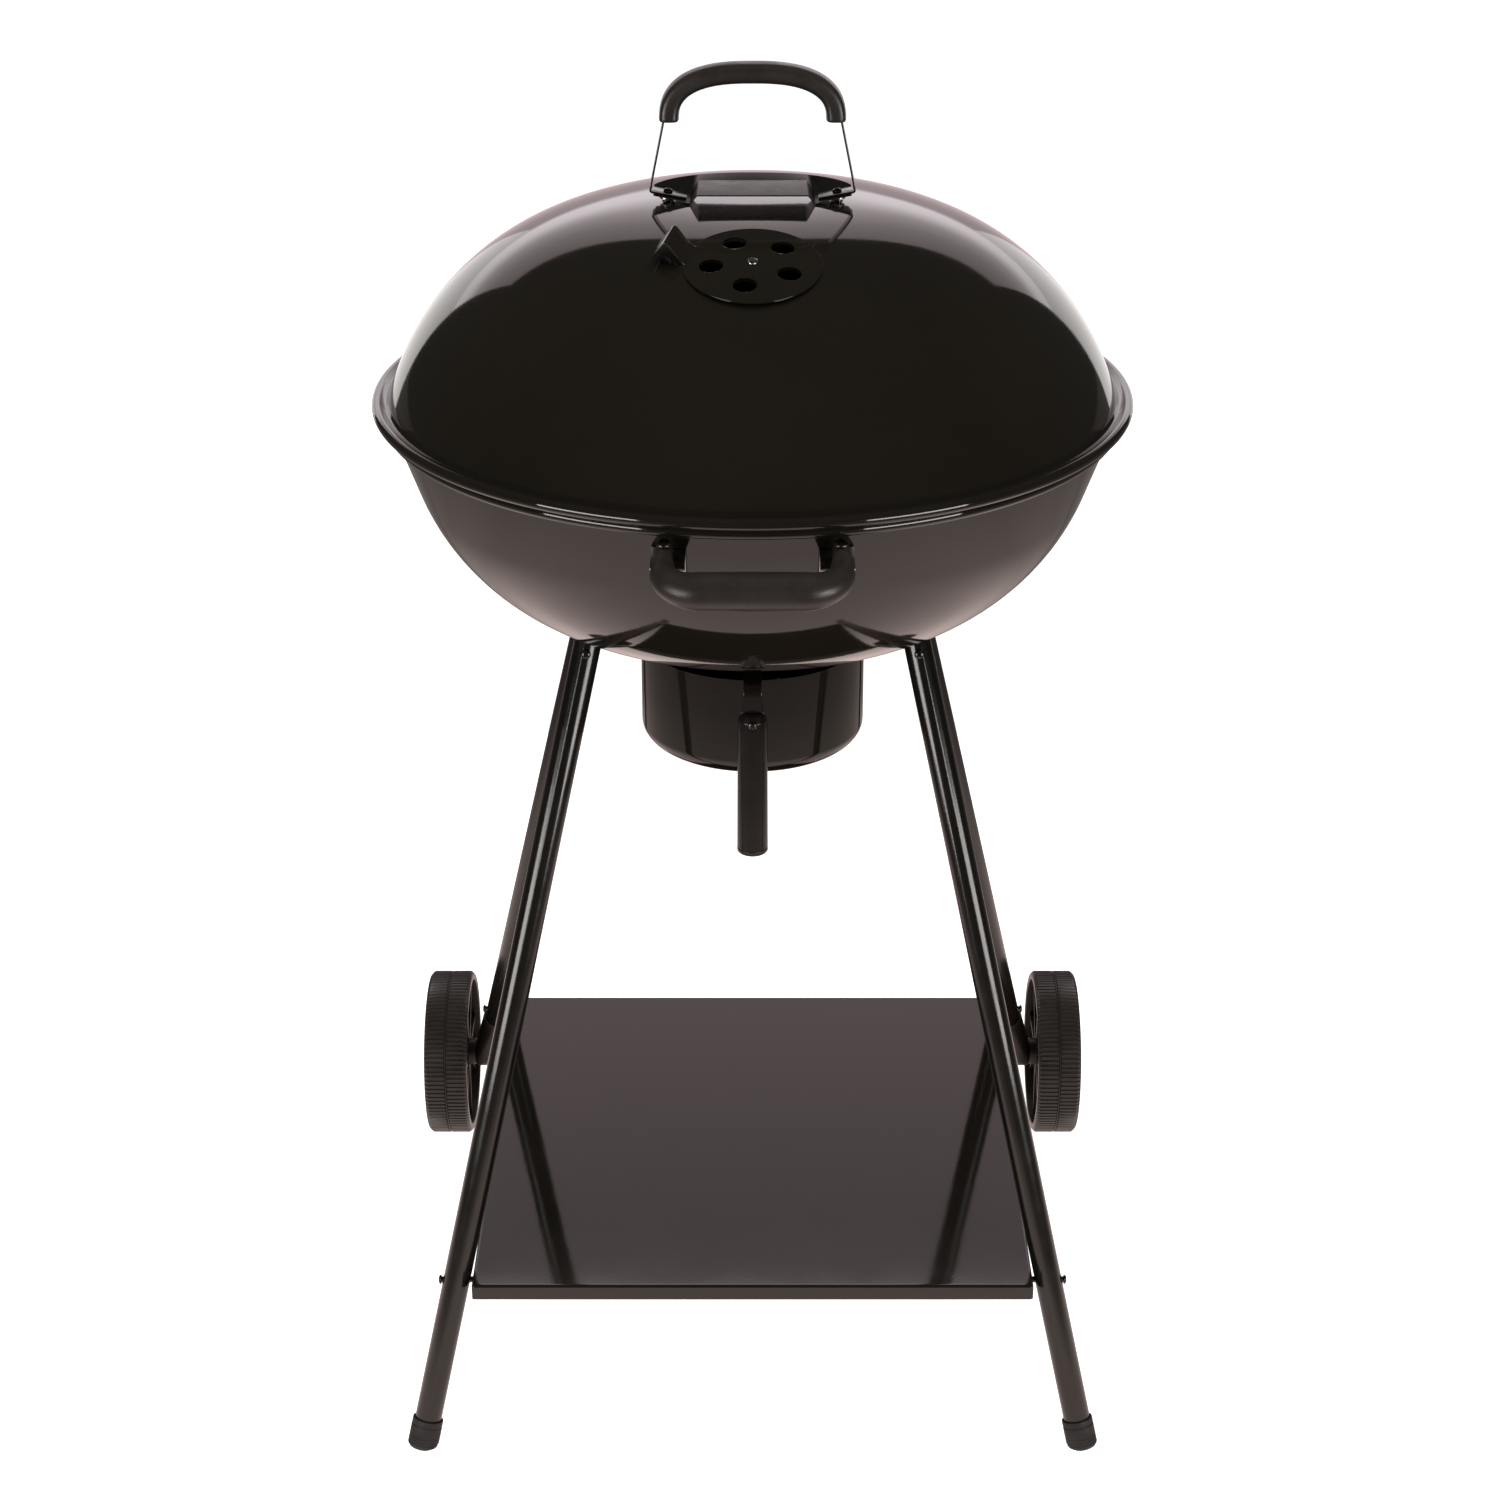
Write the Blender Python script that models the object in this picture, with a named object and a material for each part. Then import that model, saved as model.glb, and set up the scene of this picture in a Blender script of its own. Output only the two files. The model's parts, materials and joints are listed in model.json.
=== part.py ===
"""Kettle charcoal grill on four splayed legs, built as separate named pieces.

Metres, +Z up, front towards -Y. Every piece is placed from the kettle's own vertical axis, which the
empty "kettle_axis" carries, so that the finished grill's bounding box is centred on the world origin.
"""
import math

import bmesh
import bpy
from mathutils import Matrix, Vector

# ---------------------------------------------------------------- driving dimensions
CLEARANCE = 0.0003          # gap between two pieces that touch
SHEET = 0.0012              # pressed steel of the lid and the bowl
KETTLE_STEPS = 40           # facets round the lid and the bowl

# Bowl: a leaning wall, a knuckle arc and a shallow crown
BOWL_WALL_R = 0.2670
BOWL_WALL_Z = 0.7660
BOWL_WALL_LEAN = math.radians(19.7)
BOWL_KNUCKLE = 0.1724
BOWL_CROWN = 0.4331
BOWL_BOTTOM_Z = 0.6086
BEAD_R = 0.2782
BEAD_Z = 0.7940
BEAD_WIRE = 0.0045
SLOT_COUNT = 3
SLOT_INNER_R = 0.034
SLOT_OUTER_R = 0.078
SLOT_HALF_WIDTH = 0.008

# Lid: a superelliptic dome with a rolled brim
LID_APEX_Z = 0.9528
LID_BASE_Z = 0.7708
LID_BASE_R = 0.2837
LID_RADIAL_POWER = 3.06
LID_RISE_POWER = 1.626
LID_WALL_R = 0.2752
BRIM_R = 0.2900
BRIM_WIRE = 0.0044
BRIM_Z = 0.8031
LID_SEAT_Z = 0.7988

# Lid vent
VENT_Y = -0.1335
VENT_TILT = math.radians(15.5)
VENT_R = 0.0495
VENT_CURVE = 0.45
VENT_LIFT = 0.0008
VENT_SHEET = 0.0010
VENT_HOLES = 5
VENT_HOLE_R = 0.0086
RIVET_HOLE_R = 0.0026
VENT_HOLE_CIRCLE = 0.0295
VENT_HOLE_PHASE = math.radians(43.5)
VENT_TAB_AZIMUTH = math.radians(165.0)

# Lid handle, in the plane y = 0
STRAP_WIDTH = 0.0165
STRAP_SHEET = 0.0016
STRAP_CORNER = (0.0762, 0.9602)
STRAP_TOE = (0.0490, 0.9552)
STRAP_IN_GRIP = 0.0040      # how far the strap lies outside the grip's centre line
LID_GRIP_HALF = 0.0615
LID_GRIP_FOOT_Z = 1.0120
LID_GRIP_TOP_Z = 1.0471
LID_GRIP_POWER = 2.6
LID_GRIP_THICK = 0.0150
LID_GRIP_WIDE = 0.0220
SHIELD_SHEET = 0.0010
SHIELD_HALF = 0.0405         # half length of the raised middle
SHIELD_Z = 0.9625
SHIELD_TOE_X = 0.0465
SHIELD_TIP_REACH = 0.0090    # how far the plate reaches to the front and the back at its tips
SHIELD_TOE_REACH = 0.0230
SHIELD_MIDDLE_REACH = 0.0280
LID_SCREW_X = 0.0630
LID_SCREW_GRIP = 0.0100      # length held between a lid screw's head and its nut
LID_SCREW_HEAD_R = 0.0036
LID_SCREW_HOLE_R = 0.0034
SPACER_R = 0.0055
SPACER_HEIGHT = 0.0024

# Bowl handle
HANDLE_HALF = 0.0605
HANDLE_BOLT_Y = -0.2840
HANDLE_BOLT_Z = 0.7822
HANDLE_BAR_Y = -0.3300
HANDLE_BAR_R = 0.0134
HANDLE_EYE_R = 0.0062
HANDLE_ARM_R = 0.0086
HANDLE_CORNER = 0.0240
HANDLE_BOLT_HEAD_R = 0.0050
HANDLE_SLOPE = math.radians(12.0)
HANDLE_PLATE = 0.0020
HANDLE_PLATE_HALF = 0.0120
HANDLE_PLATE_FRONT_Y = -0.2915

# Grates
COOK_GRATE_R = 0.2620
COOK_GRATE_Z = 0.7790
COAL_GRATE_Z = 0.6740
RING_HALF = 0.0023
ROD_HALF = 0.0020
WELD_DEPTH = 0.0008
COAL_GRATE_GAP = 0.0010
GRATE_BAR_SHARE = 0.42       # where the two lower bars lie, as a share of the grate's radius
COOK_GRATE_RODS = 23
COAL_GRATE_RODS = 11
SUPPORT_LENGTH = 0.0200
SUPPORT_DROP = 0.0180
SUPPORT_PLATE = 0.0020
SUPPORT_GAP = 0.0012

# Sweeper and ash catcher
SHAFT_R = 0.0040
SHAFT_HOLE_R = 0.0048
BLADE_REACH = 0.150
BLADE_START = 0.012
BLADE_SHEET = 0.0015
BLADE_LIFT = SHEET + 0.0014  # height of the blades above the bowl's outer surface
BLADE_HUB_R = 0.020
BLADE_OFFSET = math.radians(40.0)
SHAFT_HEAD_R = 0.0075
LEVER_Z = 0.6035
LEVER_SHEET = 0.0025
LEVER_WIDTH = 0.0140
LEVER_Y = -0.1100
LEVER_BEND = 0.0080
LEVER_IN_GRIP = 0.0550
GRIP_TOP_Z = 0.5830
GRIP_FOOT_Z = 0.4640
GRIP_R = 0.0121
GRIP_TOP_R = 0.0090
GRIP_BORE_R = 0.0085
GRIP_SCREW_DROP = 0.0065
CATCHER_R = 0.0888
CATCHER_FOOT_Z = 0.5167
CATCHER_SHEET = 0.0010
CATCHER_CORNER = 0.0140
NOTCH_HALF_ANGLE = math.radians(52.0)
CLIP_SHEET = 0.0008
CLIP_WIDTH = 0.0140

# Stand
TUBE_R = 0.0107
TUBE_WALL = 0.0012
LEG_TOP = (0.1268, 0.0659, 0.6243)
LEG_FOOT = (0.2656, 0.2520)
FOOT_CAP_R = 0.0124
FOOT_CAP_LENGTH = 0.0250
BRACKET_PLATE = 0.0025
BRACKET_PAD = 0.0020
BRACKET_HALF = 0.0105
LEG_BOLT_DROP = 0.0100
SHELF_HALF_X = 0.2230
SHELF_FRONT_Y = -0.2312
SHELF_REAR_Y = 0.2233
SHELF_TOP_Z = 0.1380
SHELF_SKIRT = 0.0130
SHELF_SHEET = 0.0010
AXLE_R = 0.0040
AXLE_BORE_R = 0.0045
WHEEL_R = 0.0757
WHEEL_INNER_X = 0.2630
WHEEL_OUTER_X = 0.3023
WHEEL_STEPS = 24
HUB_R = 0.0125
LUG_R = 0.0135
LUG_HEIGHT = 0.0480
LUG_WALL = 0.0018
BOLT_SHANK_R = 0.0025
BOLT_HEAD_R = 0.0045
BOLT_HOLE_R = 0.0029

# Where a rear leg reaches the axle's height
AXLE_Z = WHEEL_R
AXLE_LEG_X = LEG_FOOT[0] + (LEG_TOP[0] - LEG_FOOT[0]) * AXLE_Z / LEG_TOP[2]
AXLE_Y = LEG_FOOT[1] + (LEG_TOP[1] - LEG_FOOT[1]) * AXLE_Z / LEG_TOP[2]

# The kettle's axis, so that front handle and wheels are equally far from the world origin
FRONT_REACH = -HANDLE_BAR_Y + HANDLE_BAR_R
REAR_REACH = AXLE_Y + WHEEL_R
AXIS_Y = (FRONT_REACH - REAR_REACH) / 2


# ---------------------------------------------------------------- scene and material helpers
def clear_scene():
    for old in list(bpy.data.objects):
        bpy.data.objects.remove(old, do_unlink=True)


def make_material(name, colour, roughness, metallic):
    material = bpy.data.materials.new(name)
    material.use_nodes = True
    shader = material.node_tree.nodes["Principled BSDF"]
    shader.inputs["Base Color"].default_value = (*colour, 1.0)
    shader.inputs["Roughness"].default_value = roughness
    shader.inputs["Metallic"].default_value = metallic
    return material


def add_object(name, mesh, material):
    """Link a mesh as a named object that hangs from the kettle's axis."""
    mesh.name = name
    piece = bpy.data.objects.new(name, mesh)
    bpy.context.scene.collection.objects.link(piece)
    piece.parent = KETTLE_AXIS
    if material:
        mesh.materials.append(material)
    return piece


def smooth(mesh):
    mesh.shade_smooth()
    mesh.set_sharp_from_angle(angle=math.radians(35.0))


def place(piece, location=(0.0, 0.0, 0.0), matrix=None):
    """Put a piece at a location, or at a full matrix, in the kettle's frame."""
    piece.matrix_local = matrix if matrix is not None else Matrix.Translation(location)
    return piece


def frame_at(origin, z_axis, x_hint):
    """Matrix whose Z runs along z_axis and whose X lies as near to x_hint as it can."""
    z_dir = Vector(z_axis).normalized()
    x_dir = (Vector(x_hint) - z_dir * z_dir.dot(Vector(x_hint))).normalized()
    y_dir = z_dir.cross(x_dir)
    rotation = Matrix((x_dir, y_dir, z_dir)).transposed().to_4x4()
    return Matrix.Translation(origin) @ rotation


# ---------------------------------------------------------------- shape helpers
def turned(name, outline, steps, material, closed=False):
    """Turn an outline of (radius, height) about Z. It runs down the outer side, top to bottom."""
    mesh = bpy.data.meshes.new(name)
    shape = bmesh.new()
    verts = [shape.verts.new((radius, 0.0, height)) for radius, height in outline]
    for first, second in zip(verts, verts[1:]):
        shape.edges.new((first, second))
    if closed:
        shape.edges.new((verts[-1], verts[0]))
    shape.to_mesh(mesh)
    shape.free()
    piece = add_object(name, mesh, material)
    screw = piece.modifiers.new("Turn", "SCREW")
    screw.steps = steps
    screw.render_steps = steps
    screw.use_merge_vertices = True
    screw.merge_threshold = 0.00001
    screw.use_smooth_shade = True
    return piece


def extruded(name, outline, low, high, material):
    """Extrude a flat outline of (x, y) points from height low to height high."""
    mesh = bpy.data.meshes.new(name)
    shape = bmesh.new()
    base = shape.faces.new([shape.verts.new((x, y, low)) for x, y in outline])
    base.normal_update()
    if base.normal.z > 0:
        base.normal_flip()
    top = bmesh.ops.extrude_face_region(shape, geom=[base])
    moved = [item for item in top["geom"] if isinstance(item, bmesh.types.BMVert)]
    bmesh.ops.translate(shape, verts=moved, vec=(0.0, 0.0, high - low))
    bmesh.ops.recalc_face_normals(shape, faces=shape.faces)
    shape.to_mesh(mesh)
    shape.free()
    smooth(mesh)
    return add_object(name, mesh, material)


def lofted(name, rings, material):
    """Bridge rings of points into a closed body with capped ends."""
    mesh = bpy.data.meshes.new(name)
    shape = bmesh.new()
    loops = [[shape.verts.new(point) for point in ring] for ring in rings]
    for lower, upper in zip(loops, loops[1:]):
        count = len(lower)
        for i in range(count):
            j = (i + 1) % count
            shape.faces.new((lower[i], lower[j], upper[j], upper[i]))
    shape.faces.new(loops[0])
    shape.faces.new(loops[-1])
    bmesh.ops.recalc_face_normals(shape, faces=shape.faces)
    shape.to_mesh(mesh)
    shape.free()
    smooth(mesh)
    return add_object(name, mesh, material)


def swept_rings(path, section, flat_normal):
    """Rings of a section on a flat path: a list of (across, along_normal), or a function of the index."""
    normal = Vector(flat_normal).normalized()
    points = [Vector(point) for point in path]
    rings = []
    for index, point in enumerate(points):
        before = points[max(index - 1, 0)]
        after = points[min(index + 1, len(points) - 1)]
        incoming = (point - before).normalized() if index else (after - point).normalized()
        outgoing = (after - point).normalized() if index < len(points) - 1 else incoming
        tangent = (incoming + outgoing).normalized()
        across = tangent.cross(normal)
        stretch = 1.0 / max(tangent.dot(outgoing), 0.5)
        outline = section(index) if callable(section) else section
        rings.append([point + across * u * stretch + normal * v for u, v in outline])
    return rings


def ellipse(half_across, half_normal, count, phase=0.0, power=2.0):
    """Ellipse, or a rounded rectangle when the power is above two."""
    points = []
    for index in range(count):
        angle = 2 * math.pi * (index + phase) / count
        u = math.copysign(abs(math.cos(angle)) ** (2.0 / power), math.cos(angle))
        v = math.copysign(abs(math.sin(angle)) ** (2.0 / power), math.sin(angle))
        points.append((half_across * u, half_normal * v))
    return points


def rectangle(thick, wide):
    u, v = thick / 2, wide / 2
    return [(u, -v), (u, v), (-u, v), (-u, -v)]


def arc(centre, radius, start, end, count):
    """Points of an arc, in degrees, both ends included."""
    angles = [math.radians(start + (end - start) * i / (count - 1)) for i in range(count)]
    return [(centre[0] + radius * math.cos(a), centre[1] + radius * math.sin(a)) for a in angles]


def tube(name, outer_r, inner_r, low, high, steps, material):
    """An open-ended tube along Z."""
    outline = [(outer_r, high), (outer_r, low), (inner_r, low), (inner_r, high)]
    return turned(name, outline, steps, material, closed=True)


def rod(name, radius, low, high, steps, material):
    return turned(name, [(0.0, high), (radius, high), (radius, low), (0.0, low)], steps, material)


def join_with(target, other, operation):
    """Boolean the target with another object, which is then only a guide."""
    step = target.modifiers.new(operation.title(), "BOOLEAN")
    step.operation = operation
    step.solver = "EXACT"
    step.object = other
    other.hide_render = True
    other.display_type = "WIRE"
    return target


def drill(target, radius, length, centre, direction, steps=12):
    """Drill a round hole through a piece, centred on a point of the kettle's frame."""
    cutter = rod(target.name + "_drill", radius, -length / 2, length / 2, steps, None)
    hint = (1.0, 0.0, 0.0) if abs(Vector(direction).normalized().x) < 0.9 else (0.0, 0.0, 1.0)
    place(cutter, matrix=frame_at(centre, direction, hint))
    return join_with(target, cutter, "DIFFERENCE")


def bolt(name, clamp, material, head_r=BOLT_HEAD_R, shank_r=BOLT_SHANK_R, steps=8):
    """Domed bolt with its nut. The head's underside is at z = 0 and the nut starts at -clamp."""
    head_h = 0.65 * head_r
    nut_h = 0.8 * head_r
    outline = [(0.0, head_h), (0.55 * head_r, 0.9 * head_h), (head_r, 0.4 * head_h), (head_r, 0.0),
               (shank_r, 0.0), (shank_r, -clamp), (head_r, -clamp), (head_r, -clamp - nut_h),
               (0.0, -clamp - nut_h)]
    return turned(name, outline, steps, material)


# ---------------------------------------------------------------- kettle surfaces
def bowl_centres():
    """Centres of the bowl's knuckle and crown arcs in the (radius, height) plane."""
    wall_down = Vector((-math.sin(BOWL_WALL_LEAN), -math.cos(BOWL_WALL_LEAN)))
    inwards = Vector((-math.cos(BOWL_WALL_LEAN), math.sin(BOWL_WALL_LEAN)))
    crown = Vector((0.0, BOWL_BOTTOM_Z + BOWL_CROWN))
    start = Vector((BOWL_WALL_R, BOWL_WALL_Z)) + BOWL_KNUCKLE * inwards - crown
    along = start.dot(wall_down)
    spare = start.length_squared - (BOWL_CROWN - BOWL_KNUCKLE) ** 2
    run = -along + math.sqrt(along * along - spare)
    knuckle = crown + start + run * wall_down
    return knuckle, crown


KNUCKLE_CENTRE, CROWN_CENTRE = bowl_centres()
CROWN_EDGE_ANGLE = math.degrees(math.atan2(KNUCKLE_CENTRE.y - CROWN_CENTRE.y, KNUCKLE_CENTRE.x))


def bowl_radius(height, inset=0.0):
    """Radius of the bowl's outer surface, or of one inset from it, at a height on wall or knuckle."""
    wall_foot_z = KNUCKLE_CENTRE.y - BOWL_KNUCKLE * math.sin(BOWL_WALL_LEAN)
    if height >= wall_foot_z:
        outer = BOWL_WALL_R + (height - BOWL_WALL_Z) * math.tan(BOWL_WALL_LEAN)
        return outer - inset / math.cos(BOWL_WALL_LEAN)
    reach = BOWL_KNUCKLE - inset
    return KNUCKLE_CENTRE.x + math.sqrt(reach * reach - (height - KNUCKLE_CENTRE.y) ** 2)


def bowl_height(radius, inset=0.0):
    """Height of the bowl's outer surface, or of one inset from it, over the crown or the knuckle."""
    crown_edge = (BOWL_CROWN - inset) * math.cos(math.radians(CROWN_EDGE_ANGLE))
    if radius <= crown_edge:
        return CROWN_CENTRE.y - math.sqrt((BOWL_CROWN - inset) ** 2 - radius * radius)
    return KNUCKLE_CENTRE.y - math.sqrt((BOWL_KNUCKLE - inset) ** 2 - (radius - KNUCKLE_CENTRE.x) ** 2)


def bowl_side(inset, knuckle_count, crown_count):
    """One side of the bowl's section, from the top of the wall down to the axis."""
    top_z = BEAD_Z - 0.7 * BEAD_WIRE
    wall = [(bowl_radius(top_z, inset), top_z)]
    wall_angle = -math.degrees(BOWL_WALL_LEAN)
    knuckle = arc(KNUCKLE_CENTRE, BOWL_KNUCKLE - inset, wall_angle, CROWN_EDGE_ANGLE, knuckle_count)
    crown = arc(CROWN_CENTRE, BOWL_CROWN - inset, CROWN_EDGE_ANGLE, -90.0, crown_count)
    return wall + knuckle + crown[1:-1] + [(0.0, CROWN_CENTRE.y - BOWL_CROWN + inset)]


def lid_height(radius):
    share = 1.0 - (radius / LID_BASE_R) ** LID_RADIAL_POWER
    return LID_BASE_Z + (LID_APEX_Z - LID_BASE_Z) * share ** (1.0 / LID_RISE_POWER)


def lid_side(inset, count):
    """The dome's section from the axis down to the foot of its wall."""
    points = []
    for index in range(count + 1):
        radius = LID_WALL_R * math.sin(0.5 * math.pi * index / count)
        nudge = 0.0005
        inner = max(radius - nudge, 0.0)
        slope = (lid_height(radius + nudge) - lid_height(inner)) / (radius + nudge - inner)
        normal = Vector((-slope, 1.0)).normalized() if index else Vector((0.0, 1.0))
        points.append((radius - inset * normal.x, lid_height(radius) - inset * normal.y))
    return points


# ---------------------------------------------------------------- lid
def build_lid_shell():
    roll_centre = (BRIM_R - BRIM_WIRE, BRIM_Z)
    groove = [(0.2770, 0.8072), (0.2792, 0.8052)]
    roll = arc(roll_centre, BRIM_WIRE, 135.0, -90.0, 6)
    seat = [(0.2765, LID_SEAT_Z), (0.2744, LID_SEAT_Z + 0.0030)]
    outline = lid_side(0.0, 9) + groove + roll + seat + lid_side(SHEET, 6)[::-1]
    lid = turned("lid_shell", outline, KETTLE_STEPS, ENAMEL)
    for centre, direction in vent_hole_places():
        drill(lid, VENT_HOLE_R, 0.020, centre, direction, 10)
    drill(lid, RIVET_HOLE_R, 0.020, vent_frame().translation, vent_normal(), 8)
    for side in (-1, 1):
        drill(lid, LID_SCREW_HOLE_R, 0.016, screw_point(side, -0.006), strap_foot_normal(side), 8)


def vent_normal():
    return Vector((0.0, -math.sin(VENT_TILT), math.cos(VENT_TILT)))


def vent_frame():
    """The vent disc's frame: on the lid's surface, Z along the surface normal."""
    centre = (0.0, VENT_Y, lid_height(-VENT_Y))
    return frame_at(centre, vent_normal(), (1.0, 0.0, 0.0))


def vent_hole_places():
    matrix = vent_frame()
    for index in range(VENT_HOLES):
        angle = VENT_HOLE_PHASE + 2 * math.pi * index / VENT_HOLES
        local = Vector((math.cos(angle), math.sin(angle), 0.0)) * VENT_HOLE_CIRCLE
        yield matrix @ local, vent_normal()


def build_vent():
    """Domed disc, five holes and a tent-shaped tab, all in one pressing."""
    def drop(radius):
        return VENT_LIFT - radius * radius / (2 * VENT_CURVE)

    stations = [VENT_R * share for share in (0.0, 0.5, 0.96, 1.0)]
    top = [(r, drop(r) + VENT_SHEET) for r in stations]
    top[-1] = (VENT_R, drop(VENT_R) + 0.5 * VENT_SHEET)
    under = [(r, drop(r)) for r in reversed(stations[:-1])]
    disc = turned("lid_vent_disc", top + under, 32, ENAMEL)
    place(disc, matrix=vent_frame())
    tab_path = [(0.0455, 0.0, drop(0.0455) + 0.5 * VENT_SHEET), (0.0500, 0.0, 0.0020)]
    tab_path += [(0.0590, 0.0, 0.0140), (0.0615, 0.0, 0.0140), (0.0705, 0.0, 0.0008)]
    tab = lofted("vent_tab_guide", swept_rings(tab_path, rectangle(0.0012, 0.0250), (0, 1, 0)), None)
    place(tab, matrix=vent_frame() @ Matrix.Rotation(VENT_TAB_AZIMUTH, 4, "Z"))
    join_with(disc, tab, "UNION")
    for centre, direction in vent_hole_places():
        drill(disc, VENT_HOLE_R, 0.016, centre, direction, 10)
    drill(disc, RIVET_HOLE_R, 0.016, vent_frame().translation, vent_normal(), 8)
    rivet = bolt("vent_rivet", 0.0058, STEEL, head_r=0.0040, shank_r=0.0020)
    head_seat = vent_normal() * (VENT_LIFT + VENT_SHEET + CLEARANCE)
    place(rivet, matrix=Matrix.Translation(head_seat) @ vent_frame())


def strap_foot_normal(side):
    """Upward normal of one turned-in foot of the lid handle's strap."""
    run = STRAP_CORNER[0] - STRAP_TOE[0]
    rise = STRAP_CORNER[1] - STRAP_TOE[1]
    return Vector((-side * rise, 0.0, run)).normalized()


def screw_point(side, height):
    """A point on a lid screw's axis, measured from the middle of the strap's foot."""
    share = (LID_SCREW_X - STRAP_TOE[0]) / (STRAP_CORNER[0] - STRAP_TOE[0])
    middle_z = STRAP_TOE[1] + share * (STRAP_CORNER[1] - STRAP_TOE[1])
    return Vector((side * LID_SCREW_X, 0.0, middle_z)) + strap_foot_normal(side) * height


def lid_grip_point(turn, outset=0.0):
    """A point of the grip's centre line, from turn 0 (right foot) over the top to turn 1 (left foot)."""
    def at(share):
        angle = math.pi * share
        reach = math.copysign(abs(math.cos(angle)) ** (2 / LID_GRIP_POWER), math.cos(angle))
        rise = math.sin(angle) ** (2 / LID_GRIP_POWER) if 0.0 < share < 1.0 else 0.0
        height = LID_GRIP_FOOT_Z + (LID_GRIP_TOP_Z - LID_GRIP_FOOT_Z) * rise
        return Vector((LID_GRIP_HALF * reach, 0.0, height))

    point = at(turn)
    if outset:
        nudge = 0.002
        along = (at(min(turn + nudge, 1.0)) - at(max(turn - nudge, 0.0))).normalized()
        if turn in (0.0, 1.0):
            along = Vector((0.0, 0.0, 1.0 if turn == 0.0 else -1.0))
        point = point + outset * along.cross(Vector((0.0, -1.0, 0.0)))
    return point


def grip_turns():
    """Even steps over the grip, closer together on its two shoulders."""
    count = 16
    return [i / count - 0.35 * math.sin(4 * math.pi * i / count) / (4 * math.pi) for i in range(count + 1)]


def shield_rings(foot_drop):
    """Sections of the oval shield from its right tip over the raised middle to its left tip."""
    slope = (STRAP_CORNER[1] - STRAP_TOE[1]) / (STRAP_CORNER[0] - STRAP_TOE[0])
    under_screw = screw_point(1, -foot_drop)
    shifts = (0.0105, SHIELD_TOE_X - under_screw.x)
    half = [(under_screw.x + shift, under_screw.z + slope * shift) for shift in shifts]
    half += [(SHIELD_HALF, SHIELD_Z), (SHIELD_HALF / 2, SHIELD_Z)]
    flat = half + [(0.0, SHIELD_Z)] + [(-x, z) for x, z in reversed(half)]
    reaches = [SHIELD_TIP_REACH, SHIELD_TOE_REACH, 0.95 * SHIELD_MIDDLE_REACH]
    reaches += [SHIELD_MIDDLE_REACH] * 3 + reaches[::-1]
    path = [(x, 0.0, z) for x, z in flat]
    return swept_rings(path, lambda i: rectangle(SHIELD_SHEET, 2 * reaches[i]), (0, 1, 0))


def build_lid_handle():
    over = [lid_grip_point(turn, STRAP_IN_GRIP) for turn in grip_turns()]
    right = [Vector((STRAP_TOE[0], 0.0, STRAP_TOE[1])), Vector((STRAP_CORNER[0], 0.0, STRAP_CORNER[1]))]
    left = [Vector((-point.x, 0.0, point.z)) for point in reversed(right)]
    path = right + over + left
    strap_rings = swept_rings(path, rectangle(STRAP_SHEET, STRAP_WIDTH), (0, 1, 0))
    strap = lofted("lid_handle_strap", strap_rings, BLACK_STEEL)
    shell = [lid_grip_point(turn) for turn in grip_turns()]
    section = ellipse(LID_GRIP_THICK / 2, LID_GRIP_WIDE / 2, 16, 0.5, 3.4)
    grip = lofted("lid_handle_grip", swept_rings(shell, section, (0, 1, 0)), PLASTIC)
    slot_path = [over[0] - Vector((0, 0, 0.004))] + over + [over[-1] - Vector((0, 0, 0.004))]
    slot_section = rectangle(STRAP_SHEET + 2 * CLEARANCE, STRAP_WIDTH + 2 * CLEARANCE)
    slot = lofted("grip_slot_guide", swept_rings(slot_path, slot_section, (0, 1, 0)), None)
    join_with(grip, slot, "DIFFERENCE")

    foot_drop = STRAP_SHEET / 2 + CLEARANCE + SHIELD_SHEET / 2
    shield = lofted("lid_heat_shield", shield_rings(foot_drop), SHIELD)

    for side, label in ((-1, "left"), (1, "right")):
        normal = strap_foot_normal(side)
        drill(strap, BOLT_HOLE_R, 0.006, screw_point(side, 0.0), normal, 8)
        drill(shield, BOLT_HOLE_R, 0.004, screw_point(side, -foot_drop), normal, 8)
        spacer_top = foot_drop + SHIELD_SHEET / 2 + CLEARANCE
        spacer = tube("lid_handle_spacer_" + label, SPACER_R, BOLT_HOLE_R, -SPACER_HEIGHT, 0.0, 12, STEEL)
        place(spacer, matrix=frame_at(screw_point(side, -spacer_top), normal, (0, 1, 0)))
        screw = bolt("lid_handle_screw_" + label, LID_SCREW_GRIP, STEEL, head_r=LID_SCREW_HEAD_R)
        head_seat = STRAP_SHEET / 2 + CLEARANCE
        place(screw, matrix=frame_at(screw_point(side, head_seat), normal, (0, 1, 0)))


# ---------------------------------------------------------------- bowl and grates
def build_bowl_shell():
    inside = bowl_side(SHEET, 6, 5)[::-1]
    bead = arc((BEAD_R, BEAD_Z), BEAD_WIRE, 180.0, -135.0, 8)
    outside = bowl_side(0.0, 7, 4)
    bowl = turned("bowl_shell", inside + bead + outside, KETTLE_STEPS, ENAMEL)
    for index in range(SLOT_COUNT):
        angle = math.radians(90.0 + 360.0 * index / SLOT_COUNT)
        outline = arc((SLOT_OUTER_R - SLOT_HALF_WIDTH, 0.0), SLOT_HALF_WIDTH, -90, 90, 5)
        outline += arc((SLOT_INNER_R + SLOT_HALF_WIDTH, 0.0), SLOT_HALF_WIDTH, 90, 270, 5)
        cutter = extruded("bowl_slot_guide", outline, BOWL_BOTTOM_Z - 0.01, BOWL_BOTTOM_Z + 0.03, None)
        place(cutter, matrix=Matrix.Rotation(angle, 4, "Z"))
        join_with(bowl, cutter, "DIFFERENCE")
    drill(bowl, SHAFT_HOLE_R, 0.010, (0.0, 0.0, BOWL_BOTTOM_Z), (0, 0, 1), 16)


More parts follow.
